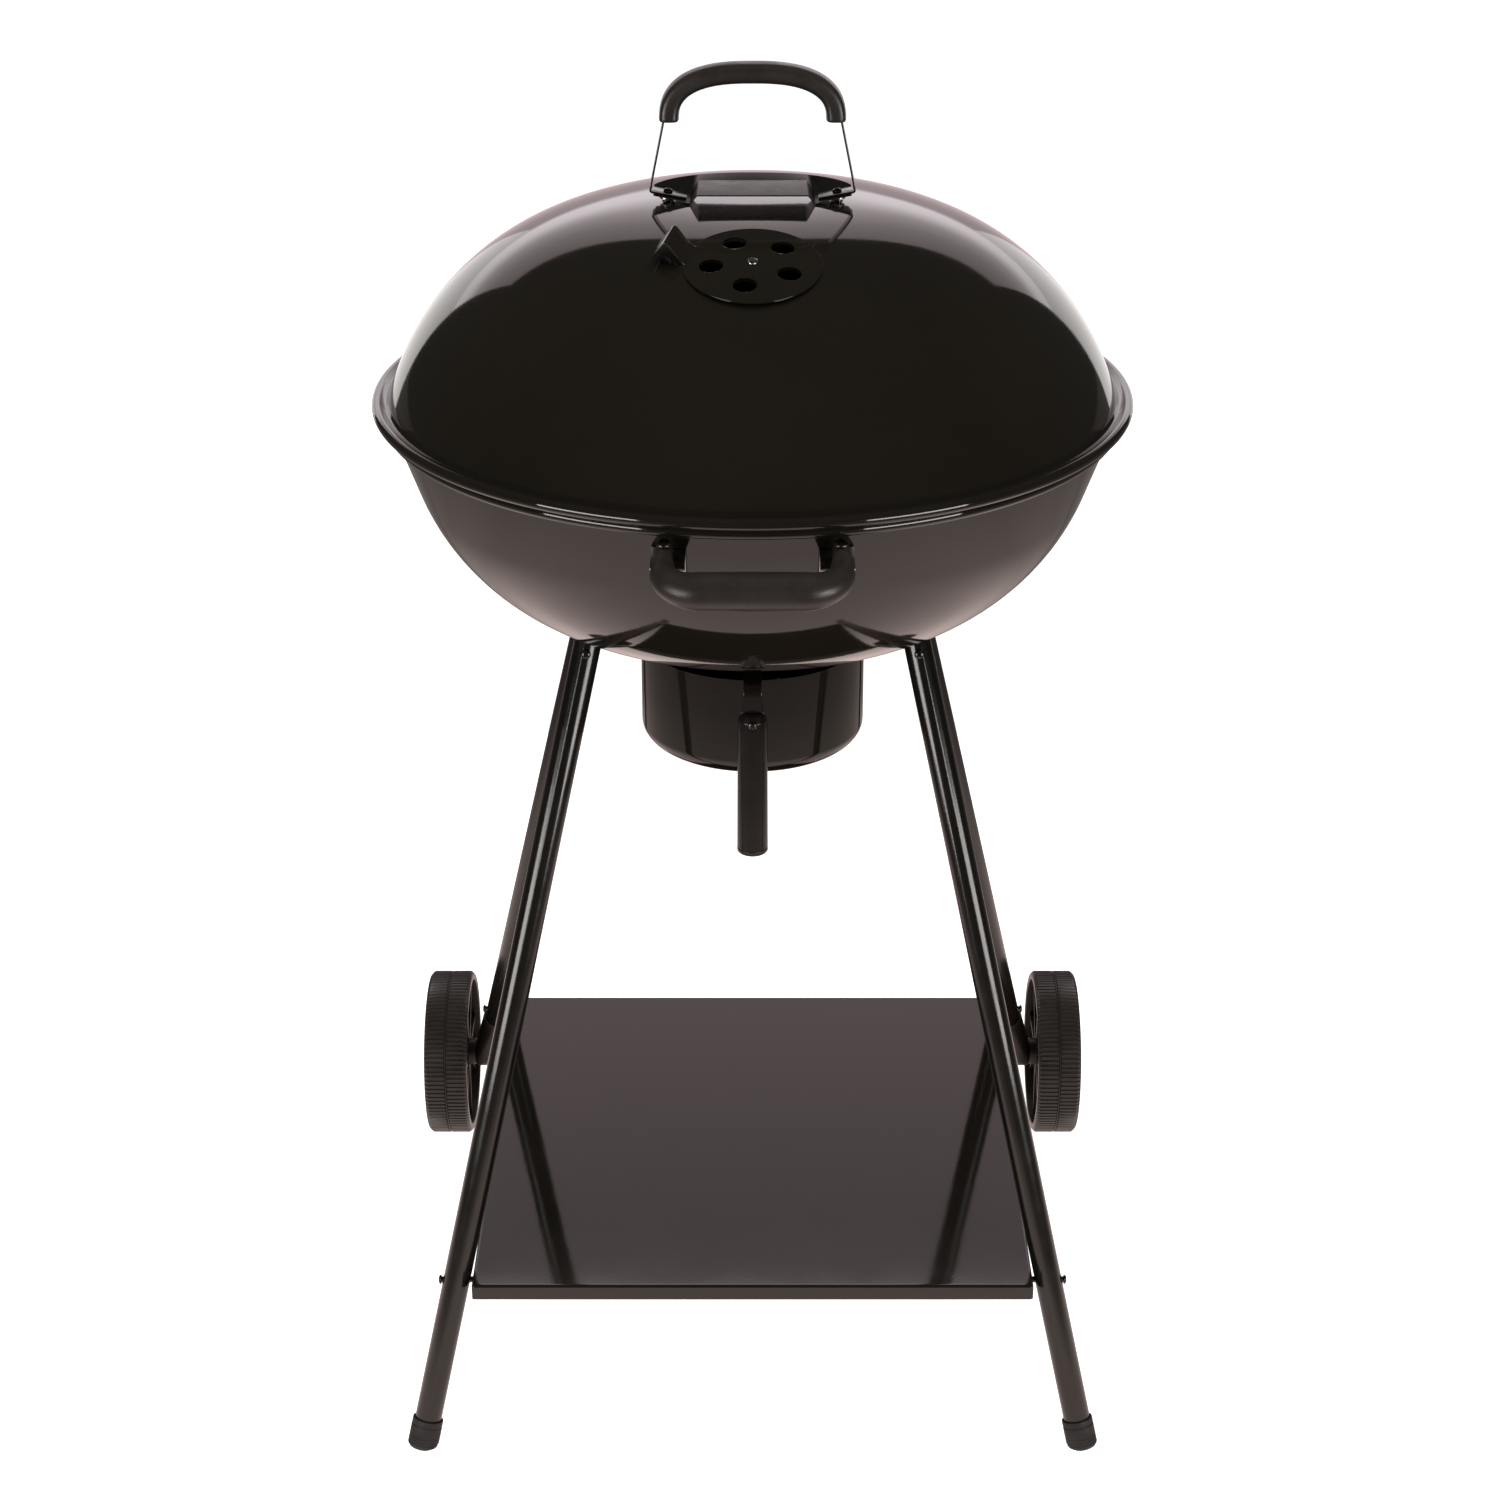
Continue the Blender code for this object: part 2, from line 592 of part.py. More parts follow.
def chord_bars(name, radius, half, height, offsets, along_y):
    """Parallel straight square bars that end on a circle, as one guide mesh of separate bars."""
    mesh = bpy.data.meshes.new(name)
    shape = bmesh.new()
    for offset in offsets:
        reach = math.sqrt(radius * radius - offset * offset)
        turn = Matrix.Rotation(math.pi / 2, 4, "X" if along_y else "Y")
        spot = (offset, 0.0, height) if along_y else (0.0, offset, height)
        size = Matrix.Diagonal((2 * half, 2 * half, 2 * reach, 1.0))
        bmesh.ops.create_cube(shape, size=1.0, matrix=Matrix.Translation(spot) @ turn @ size)
    shape.to_mesh(mesh)
    shape.free()
    return add_object(name, mesh, None)


def build_grate(name, radius, height, rod_count, material):
    """Round wire grate: a ring with two bars in its plane, and rods welded on top."""
    inner, outer = radius - RING_HALF, radius + RING_HALF
    low, high = height - RING_HALF, height + RING_HALF
    ring = tube(name, outer, inner, low, high, KETTLE_STEPS, material)
    places = (-GRATE_BAR_SHARE * radius, GRATE_BAR_SHARE * radius)
    bars = chord_bars(name + "_bar_guide", radius, 0.6 * RING_HALF, height, places, True)
    join_with(ring, bars, "UNION")
    pitch = 2 * radius / (rod_count + 1)
    offsets = [pitch * (i - (rod_count - 1) / 2) for i in range(rod_count)]
    rod_height = high + ROD_HALF - WELD_DEPTH
    rods = chord_bars(name + "_rod_guide", radius, ROD_HALF, rod_height, offsets, False)
    join_with(ring, rods, "UNION")
    return ring


def build_grate_supports():
    """Four angle brackets welded inside the wall, with the cooking grate on them."""
    seat_z = COOK_GRATE_Z - RING_HALF - CLEARANCE
    plate = SUPPORT_PLATE
    foot_z = seat_z - SUPPORT_DROP
    reach_r = COOK_GRATE_R - 0.006

    def section(across):
        def wall(height):
            return math.sqrt((bowl_radius(height, SHEET) - SUPPORT_GAP) ** 2 - across * across)

        under_z = seat_z - plate
        flat = [(reach_r, seat_z), (wall(seat_z), seat_z), (wall(foot_z), foot_z)]
        flat += [(wall(foot_z) - plate, foot_z)]
        flat += [(wall(under_z) - plate, under_z), (reach_r, under_z)]
        return [(x, across, z) for x, z in flat]

    half = SUPPORT_LENGTH / 2
    for index in range(4):
        support = lofted("grate_support_%d" % (index + 1), [section(a) for a in (-half, half)], ENAMEL)
        place(support, matrix=Matrix.Rotation(math.radians(45.0 + 90.0 * index), 4, "Z"))


# ---------------------------------------------------------------- bowl handle
def handle_matrix():
    """Frame of the handle's plane: X across, Y back and up to the bowl, origin between the bolts."""
    up = Vector((0.0, -math.sin(HANDLE_SLOPE), math.cos(HANDLE_SLOPE)))
    return frame_at((0.0, HANDLE_BOLT_Y, HANDLE_BOLT_Z), up, (1.0, 0.0, 0.0))


def handle_axis():
    return handle_matrix().to_3x3() @ Vector((0.0, 0.0, 1.0))


def handle_outline():
    """Centre line of half the U-shaped grip as (x, forward, radius), from the eye to the middle."""
    forward = (HANDLE_BOLT_Y - HANDLE_BAR_Y) / math.cos(HANDLE_SLOPE)
    points = [(HANDLE_HALF, -0.0065, HANDLE_EYE_R), (HANDLE_HALF, 0.0085, HANDLE_EYE_R)]
    bend_centre = (HANDLE_HALF - HANDLE_CORNER, forward - HANDLE_CORNER)
    bend = arc(bend_centre, HANDLE_CORNER, 0.0, 90.0, 6)
    swell = HANDLE_BAR_R - HANDLE_ARM_R - 0.0004
    for index, (x, y) in enumerate(bend):
        points.append((x, y, HANDLE_ARM_R + swell * (index / (len(bend) - 1)) ** 0.8))
    return points + [(0.0, forward, HANDLE_BAR_R)]


def build_bowl_handle():
    half = handle_outline()
    line = half + [(-x, y, radius) for x, y, radius in reversed(half[:-1])]
    path = [(x, -y, 0.0) for x, y, _ in line]
    sections = [ellipse(radius, radius, 12, 0.5) for _, _, radius in line]
    grip = lofted("bowl_handle_grip", swept_rings(path, lambda i: sections[i], (0, 0, 1)), PLASTIC)
    place(grip, matrix=handle_matrix())
    axis = handle_axis()
    plate_drop = HANDLE_EYE_R + 2 * CLEARANCE
    slope = math.tan(HANDLE_SLOPE)

    def plate_top(y):
        on_axis = Vector((0.0, HANDLE_BOLT_Y, HANDLE_BOLT_Z)) - axis * plate_drop
        return on_axis.z + (y - on_axis.y) * slope

    def section(x):
        def wall(height):
            return -math.sqrt((bowl_radius(height) + CLEARANCE) ** 2 - x * x)

        foot_z = plate_top(HANDLE_BOLT_Y) - 0.0180
        seat_y = wall(plate_top(-0.265))
        seat_z = plate_top(seat_y)
        low_z = seat_z - HANDLE_PLATE
        return [(x, HANDLE_PLATE_FRONT_Y, plate_top(HANDLE_PLATE_FRONT_Y)), (x, wall(seat_z), seat_z),
                (x, wall(foot_z), foot_z), (x, wall(foot_z) - HANDLE_PLATE, foot_z),
                (x, wall(low_z) - HANDLE_PLATE, plate_top(wall(low_z) - HANDLE_PLATE) - HANDLE_PLATE),
                (x, HANDLE_PLATE_FRONT_Y, plate_top(HANDLE_PLATE_FRONT_Y) - HANDLE_PLATE)]

    for side, label in ((-1, "left"), (1, "right")):
        spot = Vector((side * HANDLE_HALF, HANDLE_BOLT_Y, HANDLE_BOLT_Z))
        xs = [side * (HANDLE_HALF + shift * HANDLE_PLATE_HALF) for shift in (-1.2, 0.0, 0.8)]
        bracket = lofted("bowl_handle_bracket_" + label, [section(x) for x in xs], STEEL)
        for piece in (grip, bracket):
            drill(piece, BOLT_HOLE_R, 0.030, spot, axis, 10)
        clamp = 2 * HANDLE_EYE_R + HANDLE_PLATE + 0.0016
        screw = bolt("bowl_handle_bolt_" + label, clamp, STEEL, head_r=HANDLE_BOLT_HEAD_R, steps=10)
        place(screw, matrix=frame_at(spot + axis * (HANDLE_EYE_R + 0.0006), axis, (1, 0, 0)))


# ---------------------------------------------------------------- sweeper and ash catcher
def build_sweeper():
    hub_low = bowl_height(0.0, BLADE_LIFT)
    hub_high = hub_low + BLADE_SHEET
    hub = tube("sweeper_blades", BLADE_HUB_R, SHAFT_HOLE_R, hub_low, hub_high, 24, SWEEPER)
    stations = [BLADE_START + (BLADE_REACH - BLADE_START) * i / 6 for i in range(7)]
    for index in range(SLOT_COUNT):
        rings = []
        for radius in stations:
            half = 0.011 + 0.006 * math.sin(math.pi * (radius / BLADE_REACH) ** 0.8)
            corners = [Vector((radius, -half)), Vector((radius, half))]
            low = [Vector((c.x, c.y, bowl_height(c.length, BLADE_LIFT))) for c in corners]
            high = [point + Vector((0.0, 0.0, BLADE_SHEET)) for point in reversed(low)]
            rings.append(low + high)
        blade = lofted("sweeper_blade_guide", rings, None)
        angle = math.radians(90.0 + 360.0 * index / SLOT_COUNT) + BLADE_OFFSET
        place(blade, matrix=Matrix.Rotation(angle, 4, "Z"))
        join_with(hub, blade, "UNION")

    shaft_foot = LEVER_Z - LEVER_SHEET / 2 - CLEARANCE
    collar = hub_high + CLEARANCE
    head_r = SHAFT_HEAD_R
    outline = [(0.0, collar + 0.0040), (0.6 * head_r, collar + 0.0040), (head_r, collar + 0.0025),
               (head_r, collar), (SHAFT_R, collar), (SHAFT_R, shaft_foot), (head_r, shaft_foot),
               (head_r, shaft_foot - 0.0030), (0.0, shaft_foot - 0.0030)]
    turned("sweeper_shaft", outline, 12, STEEL)

    bend_centre = (LEVER_Y + LEVER_BEND, LEVER_Z - LEVER_BEND)
    corner = [(0.0, y, z) for y, z in arc(bend_centre, LEVER_BEND, 90.0, 180.0, 5)]
    lever_path = [(0.0, 0.0120, LEVER_Z)] + corner + [(0.0, LEVER_Y, GRIP_TOP_Z - LEVER_IN_GRIP)]
    lever_section = rectangle(LEVER_SHEET, LEVER_WIDTH)
    lever = lofted("sweeper_lever_arm", swept_rings(lever_path, lever_section, (1, 0, 0)), BLACK_STEEL)
    drill(lever, SHAFT_HOLE_R, 0.010, (0.0, 0.0, LEVER_Z), (0, 0, 1), 12)

    seam_z = GRIP_FOOT_Z + 0.0045
    bore_top = GRIP_FOOT_Z + 0.0150
    outline = [(0.0, GRIP_TOP_Z), (GRIP_TOP_R - 0.0030, GRIP_TOP_Z), (GRIP_TOP_R, GRIP_TOP_Z - 0.0015),
               (GRIP_R - 0.0010, GRIP_TOP_Z - 0.0060), (GRIP_R - 0.0006, GRIP_TOP_Z - 0.0120),
               (GRIP_R, seam_z), (GRIP_BORE_R, seam_z), (GRIP_BORE_R, bore_top), (0.0, bore_top)]
    grip = turned("sweeper_lever_grip", outline, 16, PLASTIC)
    place(grip, (0.0, LEVER_Y, 0.0))
    half_w = LEVER_WIDTH / 2 + CLEARANCE
    half_t = LEVER_SHEET / 2 + CLEARANCE
    pocket_outline = [(-half_w, -half_t), (half_w, -half_t), (half_w, half_t), (-half_w, half_t)]
    pocket_low = GRIP_TOP_Z - LEVER_IN_GRIP - 0.0010
    pocket = extruded("grip_pocket_guide", pocket_outline, pocket_low, GRIP_TOP_Z + 0.010, None)
    place(pocket, (0.0, LEVER_Y, 0.0))
    join_with(grip, pocket, "DIFFERENCE")
    screw_z = GRIP_TOP_Z - GRIP_SCREW_DROP
    for piece in (grip, lever):
        drill(piece, 0.0022, 0.030, (0.0, LEVER_Y, screw_z), (0, 1, 0), 8)
    screw = bolt("sweeper_grip_screw", 2 * GRIP_R - 0.0008, STEEL, head_r=0.0034, shank_r=0.0018)
    place(screw, matrix=frame_at((0.0, LEVER_Y - GRIP_R + 0.0006, screw_z), (0, -1, 0), (1, 0, 0)))

    plug_top = seam_z - CLEARANCE
    plug_r = GRIP_BORE_R - CLEARANCE
    outline = [(0.0, plug_top + 0.0080), (plug_r, plug_top + 0.0080), (plug_r, plug_top), (GRIP_R, plug_top),
               (GRIP_R, GRIP_FOOT_Z + 0.0012), (GRIP_R - 0.0012, GRIP_FOOT_Z), (0.0, GRIP_FOOT_Z)]
    plug = turned("sweeper_grip_plug", outline, 16, PLASTIC)
    place(plug, (0.0, LEVER_Y, 0.0))


def build_ash_catcher():
    rim_z = bowl_height(CATCHER_R) - 0.0008
    corner = (CATCHER_R - CATCHER_CORNER, CATCHER_FOOT_Z + CATCHER_CORNER)
    outside = [(CATCHER_R, rim_z)] + arc(corner, CATCHER_CORNER, 0.0, -90.0, 4) + [(0.0, CATCHER_FOOT_Z)]
    inside = [(0.0, CATCHER_FOOT_Z + CATCHER_SHEET)]
    inside += arc(corner, CATCHER_CORNER - CATCHER_SHEET, -90.0, 0.0, 4)
    inside += [(CATCHER_R - CATCHER_SHEET, rim_z)]
    catcher = turned("ash_catcher", outside + inside + [(CATCHER_R, rim_z)], 36, ENAMEL)
    angle = math.degrees(NOTCH_HALF_ANGLE)
    outline = arc((0.0, 0.0), CATCHER_R + 0.010, -90.0 - angle, -90.0 + angle, 9)
    outline += arc((0.0, 0.0), CATCHER_R - 0.010, -90.0 + angle, -90.0 - angle, 9)
    notch_z = LEVER_Z - LEVER_SHEET / 2 - 0.0022
    notch = extruded("catcher_notch_guide", outline, notch_z, rim_z + 0.010, None)
    join_with(catcher, notch, "DIFFERENCE")

    leaf_r = CATCHER_R + CLEARANCE + CLIP_SHEET / 2
    crown_gap = CLEARANCE + CLIP_SHEET / 2
    flat = [(leaf_r + 0.0030, rim_z - 0.0320), (leaf_r, rim_z - 0.0270), (leaf_r, rim_z - 0.0015)]
    flat += [(leaf_r + x, bowl_height(leaf_r + x) - crown_gap) for x in (0.0020, 0.0110, 0.0200)]
    path = [(x, 0.0, z) for x, z in flat]
    for angle, label in ((180.0, "left"), (0.0, "right")):
        rings = swept_rings(path, rectangle(CLIP_SHEET, CLIP_WIDTH), (0, 1, 0))
        clip = lofted("ash_catcher_clip_" + label, rings, STEEL)
        place(clip, matrix=Matrix.Rotation(math.radians(angle), 4, "Z"))


# ---------------------------------------------------------------- stand
def leg_matrix(side, end):
    """Frame at a leg's top: Z up along the leg, Y outwards to the front (end -1) or the back (1)."""
    top = Vector((side * LEG_TOP[0], end * LEG_TOP[1], LEG_TOP[2]))
    foot = Vector((side * LEG_FOOT[0], end * LEG_FOOT[1], 0.0))
    up = (top - foot).normalized()
    out = (Vector((0.0, float(end), 0.0)) - up * up.y * end).normalized()
    return frame_at(top, up, out.cross(up))


def leg_point(side, end, height):
    """The point of a leg's centre line at a height."""
    share = height / LEG_TOP[2]
    x = LEG_FOOT[0] + (LEG_TOP[0] - LEG_FOOT[0]) * share
    y = LEG_FOOT[1] + (LEG_TOP[1] - LEG_FOOT[1]) * share
    return Vector((side * x, end * y, height))


def meet_bowl(point, direction, gap):
    """Follow a direction from a point until it is a gap below the bowl's outer surface."""
    near, far = 0.0, 0.060
    for _ in range(40):
        middle = (near + far) / 2
        spot = point + direction * middle
        if spot.z < bowl_height(math.hypot(spot.x, spot.y)) - gap:
            near = middle
        else:
            far = middle
    return point + direction * near


def build_leg_bracket(name, matrix):
    """A tongue behind the leg's top, welded to a pad that follows the bowl."""
    rotation = matrix.to_3x3()
    up = rotation @ Vector((0.0, 0.0, 1.0))
    back = -(TUBE_R + CLEARANCE)
    half = BRACKET_HALF
    corners = [(-half, back - BRACKET_PLATE), (half, back - BRACKET_PLATE), (half, back), (-half, back)]
    low = [matrix @ Vector((x, y, -0.0280)) for x, y in corners]
    top_gap = CLEARANCE + 0.4 * BRACKET_PAD
    high = [meet_bowl(matrix @ Vector((x, y, -0.0050)), up, top_gap) for x, y in corners]
    tongue = lofted(name, [low, high], BLACK_STEEL)

    along = rotation @ Vector((1.0, 0.0, 0.0))
    out = rotation @ Vector((0.0, 1.0, 0.0))
    centre = matrix @ Vector((0.0, back, 0.0))
    rings = []
    for u in (-0.0150, -0.0050, 0.0050, 0.0150):
        upper = []
        lower = []
        for v in (-0.0200, -0.0070, 0.0060, 0.0190):
            spot = centre + along * u + out * v
            height = bowl_height(math.hypot(spot.x, spot.y)) - CLEARANCE
            upper.append(Vector((spot.x, spot.y, height)))
            lower.append(Vector((spot.x, spot.y, height - BRACKET_PAD)))
        rings.append(upper + lower[::-1])
    pad_piece = lofted(name + "_pad_guide", rings, None)
    join_with(tongue, pad_piece, "UNION")
    return tongue


def build_legs():
    labels = {(-1, -1): "front_left", (1, -1): "front_right", (-1, 1): "rear_left", (1, 1): "rear_right"}
    front_length = (leg_point(1, -1, LEG_TOP[2]) - leg_point(1, -1, 0.0)).length - 0.0110
    rear_length = (leg_point(1, 1, LEG_TOP[2]) - leg_point(1, 1, AXLE_Z)).length - 0.0120
    bolt_z = SHELF_TOP_Z - SHELF_SKIRT / 2
    for (side, end), label in labels.items():
        matrix = leg_matrix(side, end)
        length = front_length if end < 0 else rear_length
        leg = tube("leg_" + label, TUBE_R, TUBE_R - TUBE_WALL, -length, 0.0, 16, BLACK_STEEL)
        place(leg, matrix=matrix)
        bracket = build_leg_bracket("leg_bracket_" + label, matrix)
        out = matrix.to_3x3() @ Vector((0.0, 1.0, 0.0))
        spot = matrix @ Vector((0.0, 0.0, -LEG_BOLT_DROP))
        for piece in (leg, bracket):
            drill(piece, BOLT_HOLE_R, 0.050, spot, out, 8)
        clamp = 2 * TUBE_R + BRACKET_PLATE + 4 * CLEARANCE
        screw = bolt("leg_bolt_" + label, clamp, STEEL)
        place(screw, matrix=frame_at(spot + out * (TUBE_R + CLEARANCE), out, (0, 0, 1)))

        crossing = leg_point(side, end, bolt_z)
        sideways = Vector((float(side), 0.0, 0.0))
        drill(leg, BOLT_HOLE_R, 0.040, crossing, sideways, 8)
        seat = crossing + sideways * (TUBE_R + 0.0015)
        shelf_clamp = seat.x * side - SHELF_HALF_X + SHELF_SHEET + CLEARANCE
        fixing = bolt("shelf_bolt_" + label, shelf_clamp, STEEL)
        place(fixing, matrix=frame_at(seat, sideways, (0, 0, 1)))


def build_feet():
    """Rubber caps on the front legs, worn flat where they stand."""
    for side, label in ((-1, "left"), (1, "right")):
        matrix = leg_matrix(side, -1)
        length = (leg_point(1, -1, LEG_TOP[2]) - leg_point(1, -1, 0.0)).length
        floor = -length - 0.0030
        tube_end = -length + 0.0110
        inner = TUBE_R + CLEARANCE
        top = floor + FOOT_CAP_LENGTH
        outline = [(0.0, tube_end - CLEARANCE), (inner, tube_end - CLEARANCE), (inner, top),
                   (FOOT_CAP_R - 0.0004, top), (FOOT_CAP_R, top - 0.0012), (FOOT_CAP_R, top - 0.0040),
                   (FOOT_CAP_R - 0.0005, top - 0.0050), (FOOT_CAP_R, floor + 0.0030),
                   (FOOT_CAP_R - 0.0020, floor + 0.0004), (0.0, floor)]
        cap = turned("foot_cap_" + label, outline, 16, RUBBER)
        place(cap, matrix=matrix)
        outline = rectangle(0.2, 0.2)
        ground = extruded("ground_guide", outline, -0.05, 0.0, None)
        place(ground, (side * LEG_FOOT[0], -LEG_FOOT[1], 0.0))
        join_with(cap, ground, "DIFFERENCE")


def build_shelf():
    """Sheet pan: a flat top with four folded skirts, open underneath."""
    mesh = bpy.data.meshes.new("bottom_shelf")
    shape = bmesh.new()
    size = (2 * SHELF_HALF_X, SHELF_REAR_Y - SHELF_FRONT_Y, SHELF_SKIRT)
    middle = (0.0, (SHELF_REAR_Y + SHELF_FRONT_Y) / 2, SHELF_TOP_Z - SHELF_SKIRT / 2)
    bmesh.ops.create_cube(shape, size=1.0, matrix=Matrix.Translation(middle) @ Matrix.Diagonal((*size, 1.0)))
    bottom = [face for face in shape.faces if face.normal.z < -0.5]
    bmesh.ops.delete(shape, geom=bottom, context="FACES_ONLY")
    folds = [edge for edge in shape.edges if not edge.is_boundary]
    bmesh.ops.bevel(shape, geom=folds, offset=0.0015, segments=2, profile=0.5, affect="EDGES")
    shape.to_mesh(mesh)
    shape.free()
    smooth(mesh)
    shelf = add_object("bottom_shelf", mesh, ENAMEL)
    sheet = shelf.modifiers.new("Sheet", "SOLIDIFY")
    sheet.thickness = SHELF_SHEET
    sheet.offset = -1.0
    bolt_z = SHELF_TOP_Z - SHELF_SKIRT / 2
    for side in (-1, 1):
        for end in (-1, 1):
            crossing = leg_point(side, end, bolt_z)
            drill(shelf, BOLT_HOLE_R, 0.010, (side * SHELF_HALF_X, crossing.y, bolt_z), (1, 0, 0), 8)


def build_axle_lug(label, side):
    """Moulded end fitting: a socket for the rear leg that swells into a boss for the axle."""
    matrix = leg_matrix(side, 1)
    length = (leg_point(1, 1, LEG_TOP[2]) - leg_point(1, 1, AXLE_Z)).length
    shape = bmesh.new()
    sides = 16
    for x, y in ellipse(TUBE_R + LUG_WALL, TUBE_R + LUG_WALL, sides):
        shape.verts.new(matrix @ Vector((x, y, -length + LUG_HEIGHT)))
    inner_x = AXLE_LEG_X - TUBE_R - 0.0022
    for y, z in ellipse(LUG_R, LUG_R, sides):
        for x in (inner_x, WHEEL_INNER_X - 0.0030):
            shape.verts.new((side * x, AXLE_Y + y, AXLE_Z + z))
    bmesh.ops.convex_hull(shape, input=shape.verts)
    inside = [vert for vert in shape.verts if not vert.link_faces]
    bmesh.ops.delete(shape, geom=inside, context="VERTS")
    bmesh.ops.recalc_face_normals(shape, faces=shape.faces)
    mesh = bpy.data.meshes.new("axle_lug")
    shape.to_mesh(mesh)
    shape.free()
    smooth(mesh)
    lug = add_object("axle_lug_" + label, mesh, PLASTIC)
    socket_low = -length + 0.0120 - CLEARANCE
    socket = rod("lug_socket_guide", TUBE_R + CLEARANCE, socket_low, -length + 0.100, 16, None)
    place(socket, matrix=matrix)
    join_with(lug, socket, "DIFFERENCE")
    drill(lug, AXLE_BORE_R, 0.10, (side * AXLE_LEG_X, AXLE_Y, AXLE_Z), (1, 0, 0), 16)


def build_wheels():
    width = WHEEL_OUTER_X - WHEEL_INNER_X
    rim_r = WHEEL_R - 0.0080
    web_low, web_high = 0.0175, 0.0205
    hub_low, hub_high = -0.0024, width - 0.0055
    edge = 0.0030
    outline = [(WHEEL_R - edge, width), (WHEEL_R, width - edge), (WHEEL_R, edge), (WHEEL_R - edge, 0.0),
               (rim_r, 0.0), (rim_r, web_low), (HUB_R, web_low),
               (HUB_R, hub_low), (AXLE_BORE_R, hub_low), (AXLE_BORE_R, hub_high), (HUB_R, hub_high),
               (HUB_R, web_high), (rim_r, web_high), (rim_r, width)]
    axle_end = WHEEL_INNER_X + hub_high + 0.0024
    for side, label in ((-1, "left"), (1, "right")):
        outward = Vector((float(side), 0.0, 0.0))
        wheel = turned("wheel_" + label, outline, WHEEL_STEPS, PLASTIC, closed=True)
        wheel_seat = outward * WHEEL_INNER_X + Vector((0.0, AXLE_Y, AXLE_Z))
        place(wheel, matrix=frame_at(wheel_seat, outward, (0, 0, -1)))
        cap_bore = AXLE_R + CLEARANCE
        cap_outline = [(0.0, 0.0046), (0.0050, 0.0042), (0.0088, 0.0022), (0.0092, 0.0), (cap_bore, 0.0),
                       (cap_bore, 0.0024), (0.0, 0.0024)]
        cap = turned("axle_cap_" + label, cap_outline, 16, STEEL)
        cap_x = WHEEL_INNER_X + hub_high + CLEARANCE
        place(cap, matrix=frame_at((side * cap_x, AXLE_Y, AXLE_Z), outward, (0, 0, -1)))
        build_axle_lug(label, side)
    axle = rod("axle_rod", AXLE_R, -axle_end, axle_end, 12, STEEL)
    place(axle, matrix=frame_at((0.0, AXLE_Y, AXLE_Z), (1, 0, 0), (0, 0, -1)))


# ---------------------------------------------------------------- the grill
clear_scene()
KETTLE_AXIS = bpy.data.objects.new("kettle_axis", None)
KETTLE_AXIS.location = (0.0, AXIS_Y, 0.0)
bpy.context.scene.collection.objects.link(KETTLE_AXIS)

ENAMEL = make_material("enamel", (0.010, 0.009, 0.008), 0.08, 0.0)
BLACK_STEEL = make_material("painted_tube", (0.010, 0.009, 0.008), 0.18, 0.0)
PLASTIC = make_material("matte_plastic", (0.028, 0.025, 0.024), 0.55, 0.0)
RUBBER = make_material("rubber", (0.022, 0.020, 0.019), 0.75, 0.0)
STEEL = make_material("zinc_steel", (0.55, 0.54, 0.52), 0.35, 1.0)
SHIELD = make_material("shield_coating", (0.016, 0.014, 0.014), 0.35, 0.0)
SWEEPER = make_material("sweeper_steel", (0.42, 0.41, 0.40), 0.42, 1.0)
CHROME = make_material("chrome_wire", (0.70, 0.70, 0.71), 0.16, 1.0)

build_lid_shell()
build_vent()
build_lid_handle()
build_bowl_shell()
build_grate("cooking_grate", COOK_GRATE_R, COOK_GRATE_Z, COOK_GRATE_RODS, CHROME)
COAL_GRATE_R = bowl_radius(COAL_GRATE_Z - RING_HALF, SHEET) - RING_HALF - COAL_GRATE_GAP
build_grate("charcoal_grate", COAL_GRATE_R, COAL_GRATE_Z, COAL_GRATE_RODS, CHROME)
build_grate_supports()
build_bowl_handle()
build_sweeper()
build_ash_catcher()
build_legs()
build_feet()
build_shelf()
build_wheels()
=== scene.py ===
"""Kettle charcoal grill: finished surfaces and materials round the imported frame.

Every piece is modelled in the kettle's own frame, whose origin lies on the floor under the kettle's
axis, and stands for the CAD node of the same name. Metres, +Z up, front towards -Y.
"""
import json
import math

import bmesh
import bpy
from mathutils import Matrix, Vector

